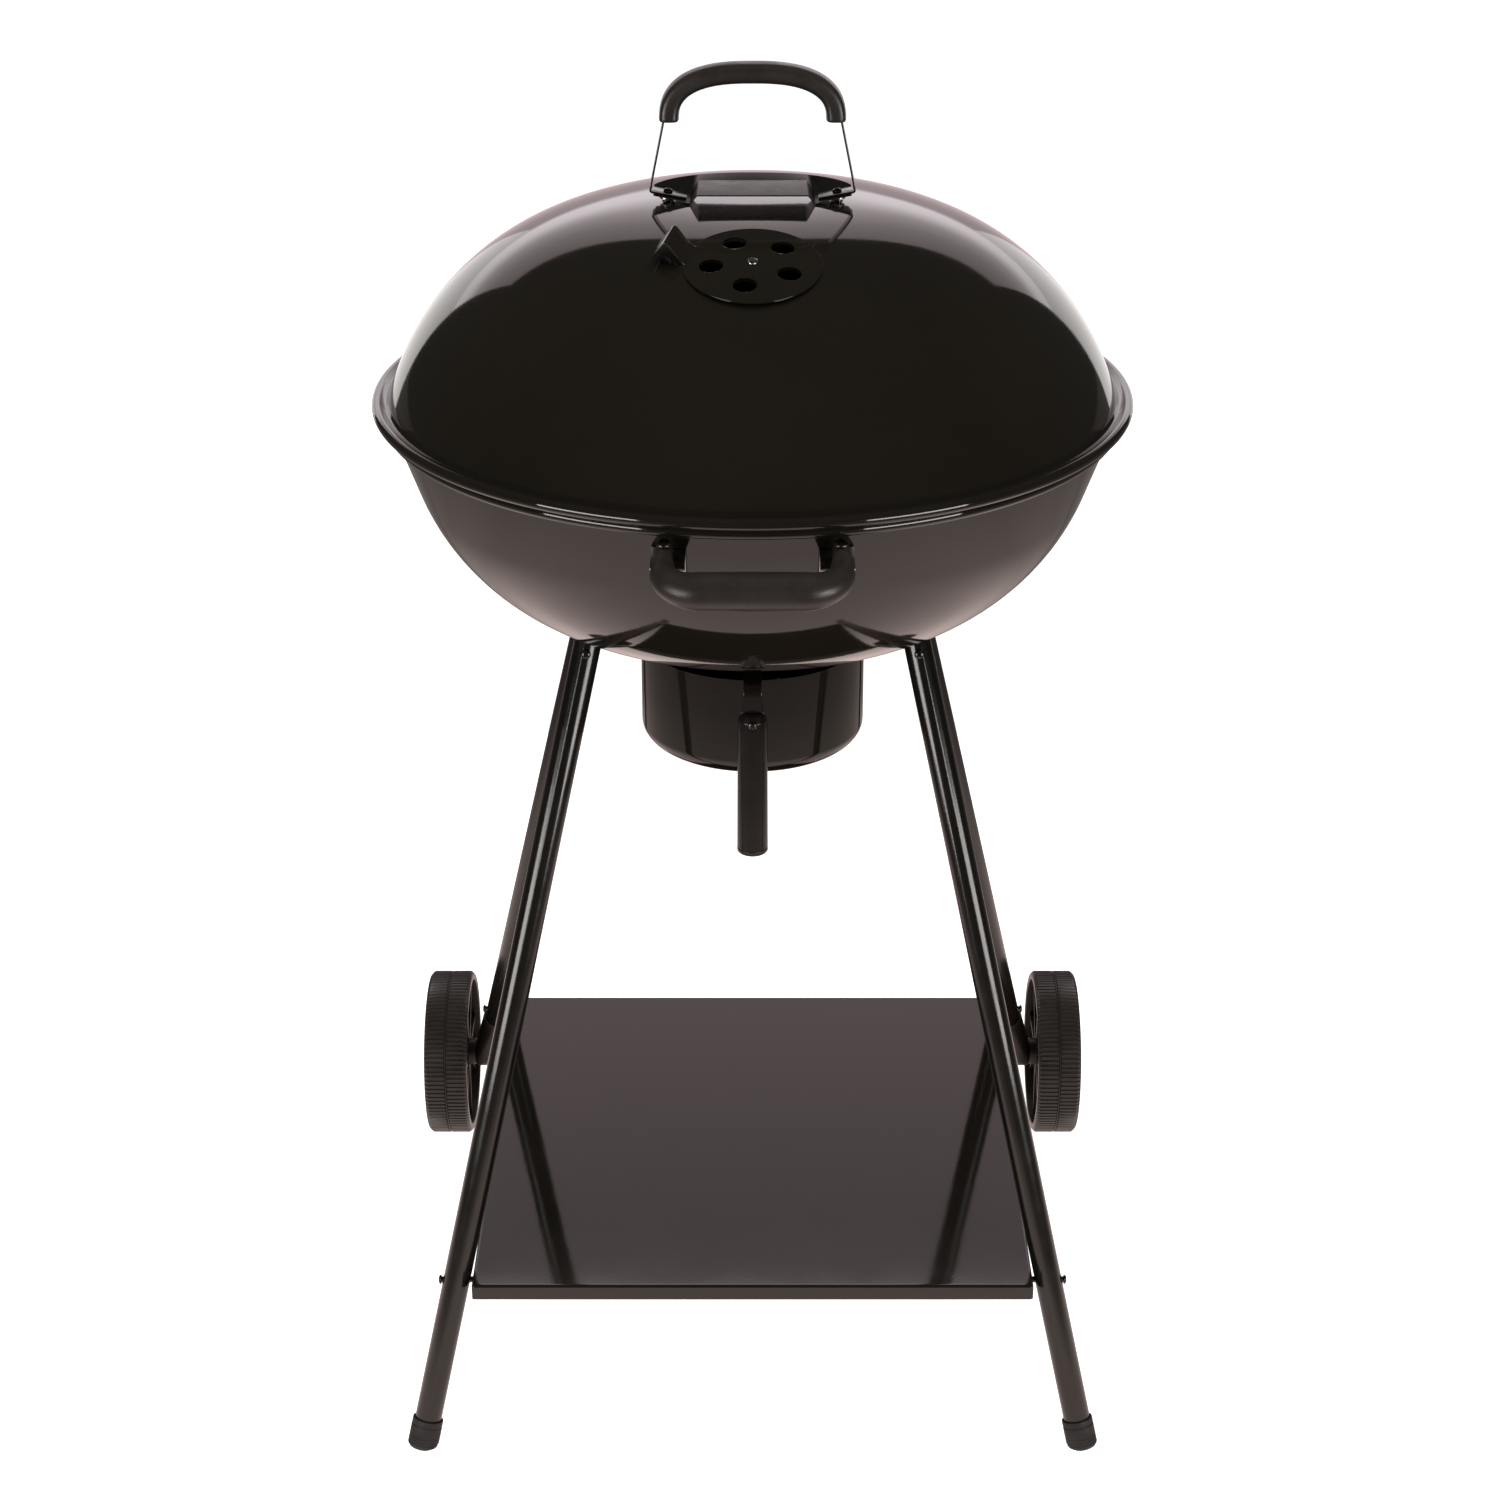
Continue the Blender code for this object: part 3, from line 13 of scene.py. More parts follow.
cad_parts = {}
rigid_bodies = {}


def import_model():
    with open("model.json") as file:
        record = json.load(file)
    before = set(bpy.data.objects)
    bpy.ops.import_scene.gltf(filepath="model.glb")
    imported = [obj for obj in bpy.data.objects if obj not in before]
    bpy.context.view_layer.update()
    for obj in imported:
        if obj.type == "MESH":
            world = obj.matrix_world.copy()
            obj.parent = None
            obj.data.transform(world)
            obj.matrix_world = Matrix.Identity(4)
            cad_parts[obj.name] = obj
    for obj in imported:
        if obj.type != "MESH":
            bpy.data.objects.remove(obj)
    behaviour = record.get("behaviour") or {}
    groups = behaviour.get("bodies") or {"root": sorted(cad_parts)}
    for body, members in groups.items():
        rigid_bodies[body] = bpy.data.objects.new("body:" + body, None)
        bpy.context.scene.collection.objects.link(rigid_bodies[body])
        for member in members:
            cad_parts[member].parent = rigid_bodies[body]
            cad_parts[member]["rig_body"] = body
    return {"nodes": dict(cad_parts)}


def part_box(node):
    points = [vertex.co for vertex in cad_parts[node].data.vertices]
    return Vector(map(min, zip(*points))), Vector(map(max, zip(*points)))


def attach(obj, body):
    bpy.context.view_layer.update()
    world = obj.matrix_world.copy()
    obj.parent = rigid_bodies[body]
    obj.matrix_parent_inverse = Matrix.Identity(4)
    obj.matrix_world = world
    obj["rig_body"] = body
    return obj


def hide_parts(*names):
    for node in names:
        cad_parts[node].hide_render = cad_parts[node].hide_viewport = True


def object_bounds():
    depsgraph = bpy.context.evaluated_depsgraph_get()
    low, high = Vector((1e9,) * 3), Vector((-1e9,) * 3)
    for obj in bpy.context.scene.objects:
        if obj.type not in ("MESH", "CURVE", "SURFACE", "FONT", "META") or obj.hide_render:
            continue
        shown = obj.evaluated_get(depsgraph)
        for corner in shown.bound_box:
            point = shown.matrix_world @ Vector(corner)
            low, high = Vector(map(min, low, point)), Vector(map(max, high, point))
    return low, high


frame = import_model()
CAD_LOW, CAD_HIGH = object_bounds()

# ---------------------------------------------------------------- driving dimensions
GAP = 0.0003                # between two pieces that touch
SHEET = 0.0012              # pressed steel of the lid and the bowl
FINE = 160                  # facets round the lid and the bowl

BOWL_WALL_R = 0.2670
BOWL_WALL_Z = 0.7660
BOWL_WALL_LEAN = math.radians(19.7)
BOWL_KNUCKLE = 0.1724
BOWL_CROWN = 0.4331
BOWL_BOTTOM_Z = 0.6086
BEAD_R = 0.2782
BEAD_Z = 0.7940
BEAD_WIRE = 0.0045
SLOT_COUNT = 3
SLOT_INNER_R = 0.034
SLOT_OUTER_R = 0.078
SLOT_HALF_WIDTH = 0.008

LID_APEX_Z = 0.9528
LID_BASE_Z = 0.7708
LID_BASE_R = 0.2837
LID_RADIAL_POWER = 3.06
LID_RISE_POWER = 1.626
LID_WALL_R = 0.2752
BRIM_R = 0.2900
BRIM_WIRE = 0.0044
BRIM_Z = 0.8031
LID_SEAT_Z = 0.7988

VENT_Y = -0.1335
VENT_TILT = math.radians(15.5)
VENT_R = 0.0495
VENT_CURVE = 0.45
VENT_LIFT = 0.0008
VENT_SHEET = 0.0010
VENT_HOLES = 5
VENT_HOLE_R = 0.0086
VENT_HOLE_CIRCLE = 0.0295
VENT_HOLE_PHASE = math.radians(43.5)
VENT_TAB_AZIMUTH = math.radians(165.0)

STRAP_WIDTH = 0.0165
STRAP_SHEET = 0.0016
STRAP_CORNER = (0.0762, 0.9602)
STRAP_TOE = (0.0490, 0.9552)
STRAP_IN_GRIP = 0.0040
LID_GRIP_HALF = 0.0615
LID_GRIP_FOOT_Z = 1.0120
LID_GRIP_TOP_Z = 1.0471
LID_GRIP_POWER = 2.6
LID_GRIP_THICK = 0.0150
LID_GRIP_WIDE = 0.0220
SHIELD_SHEET = 0.0010
SHIELD_HALF = 0.0405
SHIELD_Z = 0.9625
SHIELD_TOE_X = 0.0465
SHIELD_TIP_X = 0.0735
SHIELD_TIP_REACH = 0.0090
SHIELD_TOE_REACH = 0.0160
SHIELD_MIDDLE_REACH = 0.0280
SHIELD_BEND_REACH = 0.0088
SHIELD_BEND_SHIFT = 0.0072
SHIELD_REAR_REACH = 0.0295
SHIELD_REAR_FULLNESS = 0.84
SHIELD_REAR_Z = 0.9652
SHIELD_REAR_DROP = 0.0046
LID_SCREW_X = 0.0630
LID_SCREW_GRIP = 0.0100
LID_SCREW_HEAD_R = 0.0036
SPACER_R = 0.0055
SPACER_HEIGHT = 0.0024

HANDLE_HALF = 0.0605
HANDLE_BOLT_Y = -0.2840
HANDLE_BOLT_Z = 0.7822
HANDLE_BAR_Y = -0.3300
HANDLE_BAR_R = 0.0134
HANDLE_ARM_R = 0.0086
HANDLE_EYE_R = 0.0062
HANDLE_CORNER = 0.0240
HANDLE_SLOPE = math.radians(12.0)
HANDLE_PLATE = 0.0020
HANDLE_PLATE_FRONT_Y = -0.2915

COOK_GRATE_R = 0.2620
COOK_GRATE_Z = 0.7790
COOK_GRATE_RODS = 23
COAL_GRATE_Z = 0.6740
COAL_GRATE_RODS = 11
RING_WIRE = 0.0023
ROD_WIRE = 0.0020
WELD_DEPTH = 0.0008
GRATE_BAR_SHARE = 0.42
SUPPORT_LENGTH = 0.0200

SHAFT_R = 0.0040
BLADE_REACH = 0.150
BLADE_OFFSET = math.radians(40.0)
LEVER_Z = 0.6035
LEVER_SHEET = 0.0025
LEVER_WIDTH = 0.0140
LEVER_Y = -0.1100
GRIP_TOP_Z = 0.5830
GRIP_FOOT_Z = 0.4640
GRIP_R = 0.0121
CATCHER_R = 0.0888
CATCHER_FOOT_Z = 0.5167
CATCHER_SHEET = 0.0010
CATCHER_CORNER = 0.0140
NOTCH_HALF_ANGLE = math.radians(52.0)

TUBE_R = 0.0107
TUBE_WALL = 0.0012
LEG_TOP = (0.1268, 0.0659, 0.6243)
LEG_FOOT = (0.2656, 0.2520)
FOOT_CAP_R = 0.0124
FOOT_CAP_LENGTH = 0.0250
SHELF_SKIRT = 0.0130
SHELF_SHEET = 0.0010
AXLE_R = 0.0040
HUB_R = 0.0125
LUG_R = 0.0135
SCREW_HOLE_R = 0.0029
SHANK_R = 0.0025            # of every bolt but the one in the lever's grip
LEG_BOLT_HEAD_R = 0.0038
HANDLE_BOLT_HEAD_R = 0.0050
SHAFT_BORE_R = 0.0048       # in the bowl, the blades and the lever
BRACKET_PLATE = 0.0025
LEG_BOLT_DROP = 0.0100      # from a leg's top
CAP_DEPTH = 0.0110          # from the floor point to a front tube's end
LUG_DEPTH = 0.0120          # from the axle to a rear tube's end

AXIS_Y = (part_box("bowl_shell")[0].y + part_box("bowl_shell")[1].y) / 2
KETTLE = Matrix.Translation((0.0, AXIS_Y, 0.0))


def node_box(node):
    """A CAD node's lowest and highest corner in the kettle's frame."""
    low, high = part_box(node)
    shift = Vector((0.0, AXIS_Y, 0.0))
    return low - shift, high - shift


# ---------------------------------------------------------------- frames
def frame_at(origin, z_axis, x_hint):
    """Matrix whose Z runs along z_axis and whose X lies as near to x_hint as it can."""
    z_dir = Vector(z_axis).normalized()
    x_dir = (Vector(x_hint) - z_dir * z_dir.dot(Vector(x_hint))).normalized()
    y_dir = z_dir.cross(x_dir)
    rotation = Matrix((x_dir, y_dir, z_dir)).transposed().to_4x4()
    return Matrix.Translation(origin) @ rotation


def spin(degrees):
    return Matrix.Rotation(math.radians(degrees), 4, "Z")


# ---------------------------------------------------------------- outlines
def filleted(points, closed=False, steps=5):
    """Outline with rounded corners: a point is (x, y), or (x, y, radius) where it is rounded."""
    rounded = []
    count = len(points)
    for index, point in enumerate(points):
        here = Vector(point[:2])
        radius = point[2] if len(point) > 2 else 0.0
        at_end = not closed and index in (0, count - 1)
        if radius <= 0.0 or at_end:
            rounded.append((here.x, here.y))
            continue
        before = Vector(points[index - 1][:2]) - here
        after = Vector(points[(index + 1) % count][:2]) - here
        half_turn = (math.pi - before.angle(after)) / 2
        cut = min(radius * math.tan(half_turn), 0.49 * before.length, 0.49 * after.length)
        start = here + before.normalized() * cut
        end = here + after.normalized() * cut
        for step in range(steps + 1):
            share = step / steps
            spot = start.lerp(here, share).lerp(here.lerp(end, share), share)
            rounded.append((spot.x, spot.y))
    return rounded


def arc(centre, radius, start, end, count):
    """Points of an arc, in degrees, both ends included."""
    angles = [math.radians(start + (end - start) * i / (count - 1)) for i in range(count)]
    return [(centre[0] + radius * math.cos(a), centre[1] + radius * math.sin(a)) for a in angles]


def ellipse(half_across, half_normal, count, power=2.0):
    """Ellipse, or a rounded rectangle when the power is above two."""
    points = []
    for index in range(count):
        angle = 2 * math.pi * (index + 0.5) / count
        u = math.copysign(abs(math.cos(angle)) ** (2.0 / power), math.cos(angle))
        v = math.copysign(abs(math.sin(angle)) ** (2.0 / power), math.sin(angle))
        points.append((half_across * u, half_normal * v))
    return points


def rectangle(thick, wide, radius=0.0, steps=3):
    u, v = thick / 2, wide / 2
    return filleted([(u, -v, radius), (u, v, radius), (-u, v, radius), (-u, -v, radius)], True, steps)


# ---------------------------------------------------------------- solids
def add_lathe(shape, outline, steps, closed=False, matrix=None, ripple=None):
    """Turn an outline of (radius, height) about Z into a bmesh. A ripple(angle, index) changes the radius."""
    rings = []
    matrix = matrix or Matrix()
    for index, (radius, height) in enumerate(outline):
        if radius < 1e-7:
            rings.append([shape.verts.new(matrix @ Vector((0.0, 0.0, height)))])
            continue
        ring = []
        for step in range(steps):
            angle = 2 * math.pi * step / steps
            reach = radius + (ripple(angle, index) if ripple else 0.0)
            spot = Vector((reach * math.cos(angle), reach * math.sin(angle), height))
            ring.append(shape.verts.new(matrix @ spot))
        rings.append(ring)
    pairs = list(zip(rings, rings[1:]))
    if closed:
        pairs.append((rings[-1], rings[0]))
    for one, two in pairs:
        if len(one) == 1 and len(two) == 1:
            continue
        for step in range(steps):
            after = (step + 1) % steps
            corners = [one[step % len(one)], two[step % len(two)], two[after % len(two)],
                       one[after % len(one)]]
            shape.faces.new(list(dict.fromkeys(corners)))


def add_loft(shape, rings, closed=False):
    """Bridge rings of points into a bmesh: a body with capped ends, or one that closes on itself."""
    loops = [[shape.verts.new(point) for point in ring] for ring in rings]
    pairs = list(zip(loops, loops[1:]))
    if closed:
        pairs.append((loops[-1], loops[0]))
    for lower, upper in pairs:
        count = len(lower)
        for i in range(count):
            j = (i + 1) % count
            shape.faces.new((lower[i], lower[j], upper[j], upper[i]))
    if not closed:
        shape.faces.new(loops[0])
        shape.faces.new(loops[-1])


def swept_rings(path, section, flat_normal):
    """Rings along a flat path of a section: a list of (across, normal), or a function of the index."""
    normal = Vector(flat_normal).normalized()
    points = [Vector(point) for point in path]
    rings = []
    for index, point in enumerate(points):
        before = points[max(index - 1, 0)]
        after = points[min(index + 1, len(points) - 1)]
        incoming = (point - before).normalized() if index else (after - point).normalized()
        outgoing = (after - point).normalized() if index < len(points) - 1 else incoming
        tangent = (incoming + outgoing).normalized()
        across = tangent.cross(normal)
        stretch = 1.0 / max(tangent.dot(outgoing), 0.5)
        outline = section(index) if callable(section) else section
        rings.append([point + across * u * stretch + normal * v for u, v in outline])
    return rings


def add_wire(shape, start, end, radius, sides=12):
    """A straight round wire with rounded ends."""
    start, end = Vector(start), Vector(end)
    length = (end - start).length
    hint = (0.0, 0.0, 1.0) if abs((end - start).normalized().z) < 0.9 else (1.0, 0.0, 0.0)
    tip = 0.45 * radius
    outline = [(0.0, 0.0), (0.7 * radius, 0.25 * tip), (radius, tip), (radius, length - tip),
               (0.7 * radius, length - 0.25 * tip), (0.0, length)]
    add_lathe(shape, outline, sides, matrix=frame_at(start, end - start, hint))


def to_mesh(name, shape):
    mesh = bpy.data.meshes.new(name)
    shape.to_mesh(mesh)
    shape.free()
    return mesh


def placed(name, data):
    """A new object in the scene."""
    thing = bpy.data.objects.new(name, data)
    bpy.context.scene.collection.objects.link(thing)
    return thing


def to_object(name, shape, matrix=None):
    """Turn a bmesh into an object at a matrix of the kettle's frame."""
    bmesh.ops.recalc_face_normals(shape, faces=shape.faces)
    piece = placed(name, to_mesh(name, shape))
    piece.matrix_world = KETTLE @ (matrix or Matrix())
    return piece


def lathed(name, outline, steps=64, closed=False, matrix=None, ripple=None):
    shape = bmesh.new()
    add_lathe(shape, outline, steps, closed, ripple=ripple)
    return to_object(name, shape, matrix)


def lofted(name, rings, matrix=None, closed=False):
    shape = bmesh.new()
    add_loft(shape, rings, closed)
    return to_object(name, shape, matrix)


def prism(name, outline, low, high, matrix=None):
    return lofted(name, [[Vector((x, y, z)) for x, y in outline] for z in (low, high)], matrix)


def apply_modifiers(piece):
    """Bake a piece's modifiers into its mesh."""
    bpy.context.view_layer.update()
    graph = bpy.context.evaluated_depsgraph_get()
    mesh = bpy.data.meshes.new_from_object(piece.evaluated_get(graph))
    piece.modifiers.clear()
    piece.data = mesh


def combine(piece, others, operation):
    """Boolean a piece with other objects, which are used up."""
    for other in others:
        step = piece.modifiers.new("Combine", "BOOLEAN")
        step.operation = operation
        step.solver = "EXACT"
        step.object = other
        apply_modifiers(piece)
        bpy.data.objects.remove(other, do_unlink=True)
    return piece


def cut(piece, *cutters):
    return combine(piece, cutters, "DIFFERENCE")


def weld(piece, *others):
    return combine(piece, others, "UNION")


def drills(places, radius, length, sides=32):
    """One cutter for round holes at (centre, direction) places, which don't touch each other."""
    shape = bmesh.new()
    for centre, direction in places:
        hint = (1.0, 0.0, 0.0) if abs(Vector(direction).normalized().x) < 0.9 else (0.0, 0.0, 1.0)
        outline = [(0.0, length / 2), (radius, length / 2), (radius, -length / 2), (0.0, -length / 2)]
        add_lathe(shape, outline, sides, matrix=frame_at(centre, direction, hint))
    return to_object("drills", shape)


def settle(piece, node, slot, bevel=0.0, crease=35.0, look=None):
    """Finish a piece: small edge radii, shading, the material of its slot or look, and the body of the CAD
    node it stands for.
    """
    if bevel:
        edges = piece.modifiers.new("Edges", "BEVEL")
        edges.width = bevel
        edges.segments = 2
        edges.limit_method = "ANGLE"
        edges.angle_limit = math.radians(40.0)
        apply_modifiers(piece)
    bpy.context.view_layer.update()
    piece.data.transform(piece.matrix_world)
    piece.matrix_world = Matrix()
    piece.name = node + "_detail"
    piece.data.name = piece.name
    piece.data.shade_smooth()
    piece.data.set_sharp_from_angle(angle=math.radians(crease))
    piece.data.materials.clear()
    piece.data.materials.append(LOOKS[look or slot])
    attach(piece, frame["nodes"][node]["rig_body"])
    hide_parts(node)
    return piece


# ---------------------------------------------------------------- materials
def add_node(tree, kind, inputs=None, **settings):
    """A shader node with its settings made, and each input set to a constant or linked to an output."""
    node = tree.nodes.new("ShaderNode" + kind)
    for key, value in settings.items():
        setattr(node, key, value)
    for key, value in (inputs or {}).items():
        if isinstance(value, bpy.types.NodeSocket):
            tree.links.new(value, node.inputs[key])
        else:
            node.inputs[key].default_value = value
    return node


class Look:
    """A procedural material: a Principled shader with textures in the piece's own coordinates."""

    def __init__(self, name, metallic=0.0, ior=1.5, specular=0.5):
        self.material = bpy.data.materials.new(name)
        self.material.use_nodes = True
        self.tree = self.material.node_tree
        self.shader = self.tree.nodes["Principled BSDF"]
        for socket, value in (("Metallic", metallic), ("IOR", ior), ("Specular IOR Level", specular)):
            self.shader.inputs[socket].default_value = value
        self.place = add_node(self.tree, "TexCoord").outputs["Object"]

    def noise(self, scale, detail=3.0, roughness=0.5, stretch=None):
        place = self.place
        if stretch:
            place = add_node(self.tree, "Mapping", {"Vector": place, "Scale": stretch}).outputs["Vector"]
        inputs = {"Vector": place, "Scale": scale, "Detail": detail, "Roughness": roughness}
        return add_node(self.tree, "TexNoise", inputs).outputs["Fac"]

    def cells(self, scale, output="Distance"):
        return add_node(self.tree, "TexVoronoi", {"Vector": self.place, "Scale": scale}).outputs[output]

    def spread(self, source, low, high, start=0.3, end=0.7):
        """Map a texture's usual range to low..high."""
        inputs = {"Value": source, "From Min": start, "From Max": end, "To Min": low, "To Max": high}
        return add_node(self.tree, "MapRange", inputs).outputs["Result"]

    def mixed(self, factor, one, two):
        """Mix two colours, each a triple or another node's output."""
        one, two = [(*colour, 1.0) if isinstance(colour, tuple) else colour for colour in (one, two)]
        return add_node(self.tree, "Mix", {"Factor": factor, 6: one, 7: two}, data_type="RGBA").outputs[2]

    def bump(self, height, depth, strength, under=None):
        inputs = {"Height": height, "Distance": depth, "Strength": strength}
        if under:
            inputs["Normal"] = under
        return add_node(self.tree, "Bump", inputs).outputs["Normal"]

    def finish(self, colour, roughness, normal):
        """Link the textured sockets and give the material."""
        for socket, source in (("Base Color", colour), ("Roughness", roughness), ("Normal", normal)):
            self.tree.links.new(source, self.shader.inputs[socket])
        return self.material


def enamel():
    """Black porcelain enamel: glassy, with a slow waviness, a fine peel and pale pinholes."""
    look = Look("black_enamel")
    tone = look.spread(look.noise(7.0, 4.0), 0.0, 1.0)
    body = look.mixed(tone, (0.0088, 0.0073, 0.0052), (0.0114, 0.0096, 0.0069))
    pin = look.spread(look.cells(620.0), 1.0, 0.0, 0.04, 0.09)
    roughness = look.spread(look.noise(16.0, 6.0, 0.62), 0.045, 0.085)
    waves = look.bump(look.noise(11.0, 2.0), 0.00035, 0.35)
    peel = look.bump(look.noise(340.0, 2.0), 0.000020, 0.5, waves)
    return look.finish(look.mixed(pin, body, (0.020, 0.018, 0.015)), roughness, peel)


def painted_tube():
    """Black powder coat on steel: glossy, with a finer and deeper peel than enamel."""
    look = Look("black_tube_paint")
    tone = look.spread(look.noise(22.0, 4.0), 0.0, 1.0)
    body = look.mixed(tone, (0.0060, 0.0053, 0.0040), (0.0098, 0.0088, 0.0070))
    roughness = look.spread(look.noise(45.0, 5.0, 0.6), 0.13, 0.22)
    return look.finish(body, roughness, look.bump(look.noise(620.0, 3.0), 0.000045, 0.6))


def matte_plastic():
    """Moulded glass-filled nylon: charcoal black with an eroded grain and slightly polished wear."""
    look = Look("moulded_plastic", ior=1.46)
    tone = look.spread(look.noise(60.0, 5.0, 0.6), 0.0, 1.0)
    body = look.mixed(tone, (0.0155, 0.0124, 0.0104), (0.0225, 0.0184, 0.0156))
    fleck = look.spread(look.noise(1900.0, 2.0), 0.0, 1.0, 0.62, 0.80)
    roughness = look.spread(look.noise(34.0, 4.0), 0.30, 0.44)
    grain = look.bump(look.noise(1500.0, 3.0, 0.6), 0.00011, 0.6)
    pits = look.bump(look.cells(1100.0), 0.00006, 0.35, grain)
    return look.finish(look.mixed(fleck, body, (0.052, 0.046, 0.043)), roughness, pits)


def polished_sleeve():
    """The same nylon moulded in a polished cavity: nearly black, with drawn streaks along its length."""
    look = Look("polished_sleeve", specular=0.22)
    tone = look.spread(look.noise(40.0, 5.0, 0.6), 0.0, 1.0)
    body = look.mixed(tone, (0.0078, 0.0068, 0.0060), (0.0125, 0.0110, 0.0098))
    roughness = look.spread(look.noise(60.0, 5.0, 0.6, (8.0, 8.0, 1.0)), 0.12, 0.24)
    streaks = look.bump(look.noise(130.0, 3.0, 0.6, (6.0, 6.0, 0.5)), 0.00004, 0.5)
    return look.finish(body, roughness, look.bump(look.noise(1100.0, 3.0), 0.00003, 0.5, streaks))


def rubber():
    """Black rubber: dull, with dusty patches and a fine tooth."""
    look = Look("black_rubber", ior=1.45)
    dust = look.spread(look.noise(48.0, 6.0, 0.65), 0.0, 1.0, 0.45, 0.75)
    body = look.mixed(dust, (0.0105, 0.0098, 0.0092), (0.0230, 0.0215, 0.0200))
    roughness = look.spread(look.noise(90.0, 4.0), 0.58, 0.78)
    return look.finish(body, roughness, look.bump(look.noise(1300.0, 4.0, 0.6), 0.00012, 0.6))


def zinc_steel():
    """Zinc-plated steel: small crystal patches, drawn scratches and dull spots."""
    look = Look("zinc_plate", metallic=1.0)
    patch = look.spread(look.cells(420.0, output="Color"), 0.0, 1.0, 0.1, 0.9)
    body = look.mixed(patch, (0.33, 0.325, 0.32), (0.44, 0.435, 0.43))
    dull = look.spread(look.noise(120.0, 6.0, 0.6), 0.0, 1.0, 0.52, 0.72)
    roughness = look.spread(look.noise(160.0, 5.0), 0.26, 0.42)
    scratches = look.bump(look.noise(90.0, 4.0, 0.6, (1.0, 1.0, 26.0)), 0.00002, 0.5)
    return look.finish(look.mixed(dull, body, (0.24, 0.235, 0.225)), roughness, scratches)


def shield_coating():
    """Satin black heat-resistant coating on sheet, with a fine texture and greyed rubbed patches."""
    look = Look("shield_coating", specular=0.16)
    tone = look.spread(look.noise(38.0, 5.0, 0.6), 0.0, 1.0)
    body = look.mixed(tone, (0.0075, 0.0068, 0.0064), (0.0125, 0.0112, 0.0108))
    rubbed = look.spread(look.noise(150.0, 5.0, 0.65), 0.0, 0.6, 0.60, 0.85)
    roughness = look.spread(look.noise(70.0, 5.0, 0.6), 0.24, 0.34)
    texture = look.bump(look.noise(260.0, 3.0), 0.000010, 0.3)
    return look.finish(look.mixed(rubbed, body, (0.030, 0.028, 0.027)), roughness, texture)


def blackened_steel():
    """Oil-blackened steel of the bolts: dark, satin, a little worn to metal in fine scratches."""
    look = Look("blackened_steel", metallic=1.0)
    tone = look.spread(look.noise(180.0, 5.0, 0.6), 0.0, 1.0)
    body = look.mixed(tone, (0.050, 0.046, 0.042), (0.105, 0.098, 0.090))
    worn = look.spread(look.noise(420.0, 5.0, 0.65), 0.0, 0.8, 0.62, 0.80)
    roughness = look.spread(look.noise(160.0, 5.0), 0.22, 0.36)
    scratches = look.bump(look.noise(600.0, 3.0), 0.00002, 0.5)
    return look.finish(look.mixed(worn, body, (0.28, 0.27, 0.26)), roughness, scratches)


def sweeper_steel():
    """Aluminised sheet: soft grey, mottled, browned in patches by the fire."""
    look = Look("aluminised_sheet", metallic=1.0)
    mottle = look.spread(look.noise(130.0, 6.0, 0.65), 0.0, 1.0)
    body = look.mixed(mottle, (0.36, 0.355, 0.35), (0.50, 0.495, 0.485))
    scorch = look.spread(look.noise(15.0, 5.0, 0.6), 0.0, 0.7, 0.50, 0.78)
    roughness = look.spread(look.noise(75.0, 5.0), 0.34, 0.52)
    dents = look.bump(look.noise(420.0, 4.0), 0.00005, 0.5)
    return look.finish(look.mixed(scorch, body, (0.20, 0.155, 0.120)), roughness, dents)


def chrome_wire():
    """Plated wire: bright, with drawing lines and slightly dull weld patches."""
    look = Look("plated_wire", metallic=1.0)
    dull = look.spread(look.noise(70.0, 5.0, 0.6), 0.0, 1.0, 0.48, 0.75)
    body = look.mixed(dull, (0.66, 0.66, 0.665), (0.50, 0.485, 0.46))
    roughness = look.spread(look.noise(210.0, 4.0), 0.13, 0.26)
    return look.finish(body, roughness, look.bump(look.noise(900.0, 3.0), 0.000025, 0.5))


RECIPES = (enamel, painted_tube, matte_plastic, polished_sleeve, rubber, zinc_steel, blackened_steel,
           shield_coating, sweeper_steel, chrome_wire)
LOOKS = {recipe.__name__: recipe() for recipe in RECIPES}


# ---------------------------------------------------------------- kettle surfaces
def bowl_centres():
    """Centres of the bowl's knuckle and crown arcs in the (radius, height) plane."""
    wall_down = Vector((-math.sin(BOWL_WALL_LEAN), -math.cos(BOWL_WALL_LEAN)))
    inwards = Vector((-math.cos(BOWL_WALL_LEAN), math.sin(BOWL_WALL_LEAN)))
    crown = Vector((0.0, BOWL_BOTTOM_Z + BOWL_CROWN))
    start = Vector((BOWL_WALL_R, BOWL_WALL_Z)) + BOWL_KNUCKLE * inwards - crown
    along = start.dot(wall_down)
    spare = start.length_squared - (BOWL_CROWN - BOWL_KNUCKLE) ** 2
    run = -along + math.sqrt(along * along - spare)
    return crown + start + run * wall_down, crown


KNUCKLE_CENTRE, CROWN_CENTRE = bowl_centres()
CROWN_EDGE_ANGLE = math.degrees(math.atan2(KNUCKLE_CENTRE.y - CROWN_CENTRE.y, KNUCKLE_CENTRE.x))


def bowl_radius(height, inset=0.0):
    """Radius of the bowl's outer surface, or of one inset from it, at a height on wall or knuckle."""
    wall_foot_z = KNUCKLE_CENTRE.y - BOWL_KNUCKLE * math.sin(BOWL_WALL_LEAN)
    if height >= wall_foot_z:
        outer = BOWL_WALL_R + (height - BOWL_WALL_Z) * math.tan(BOWL_WALL_LEAN)
        return outer - inset / math.cos(BOWL_WALL_LEAN)
    reach = BOWL_KNUCKLE - inset
    return KNUCKLE_CENTRE.x + math.sqrt(reach * reach - (height - KNUCKLE_CENTRE.y) ** 2)


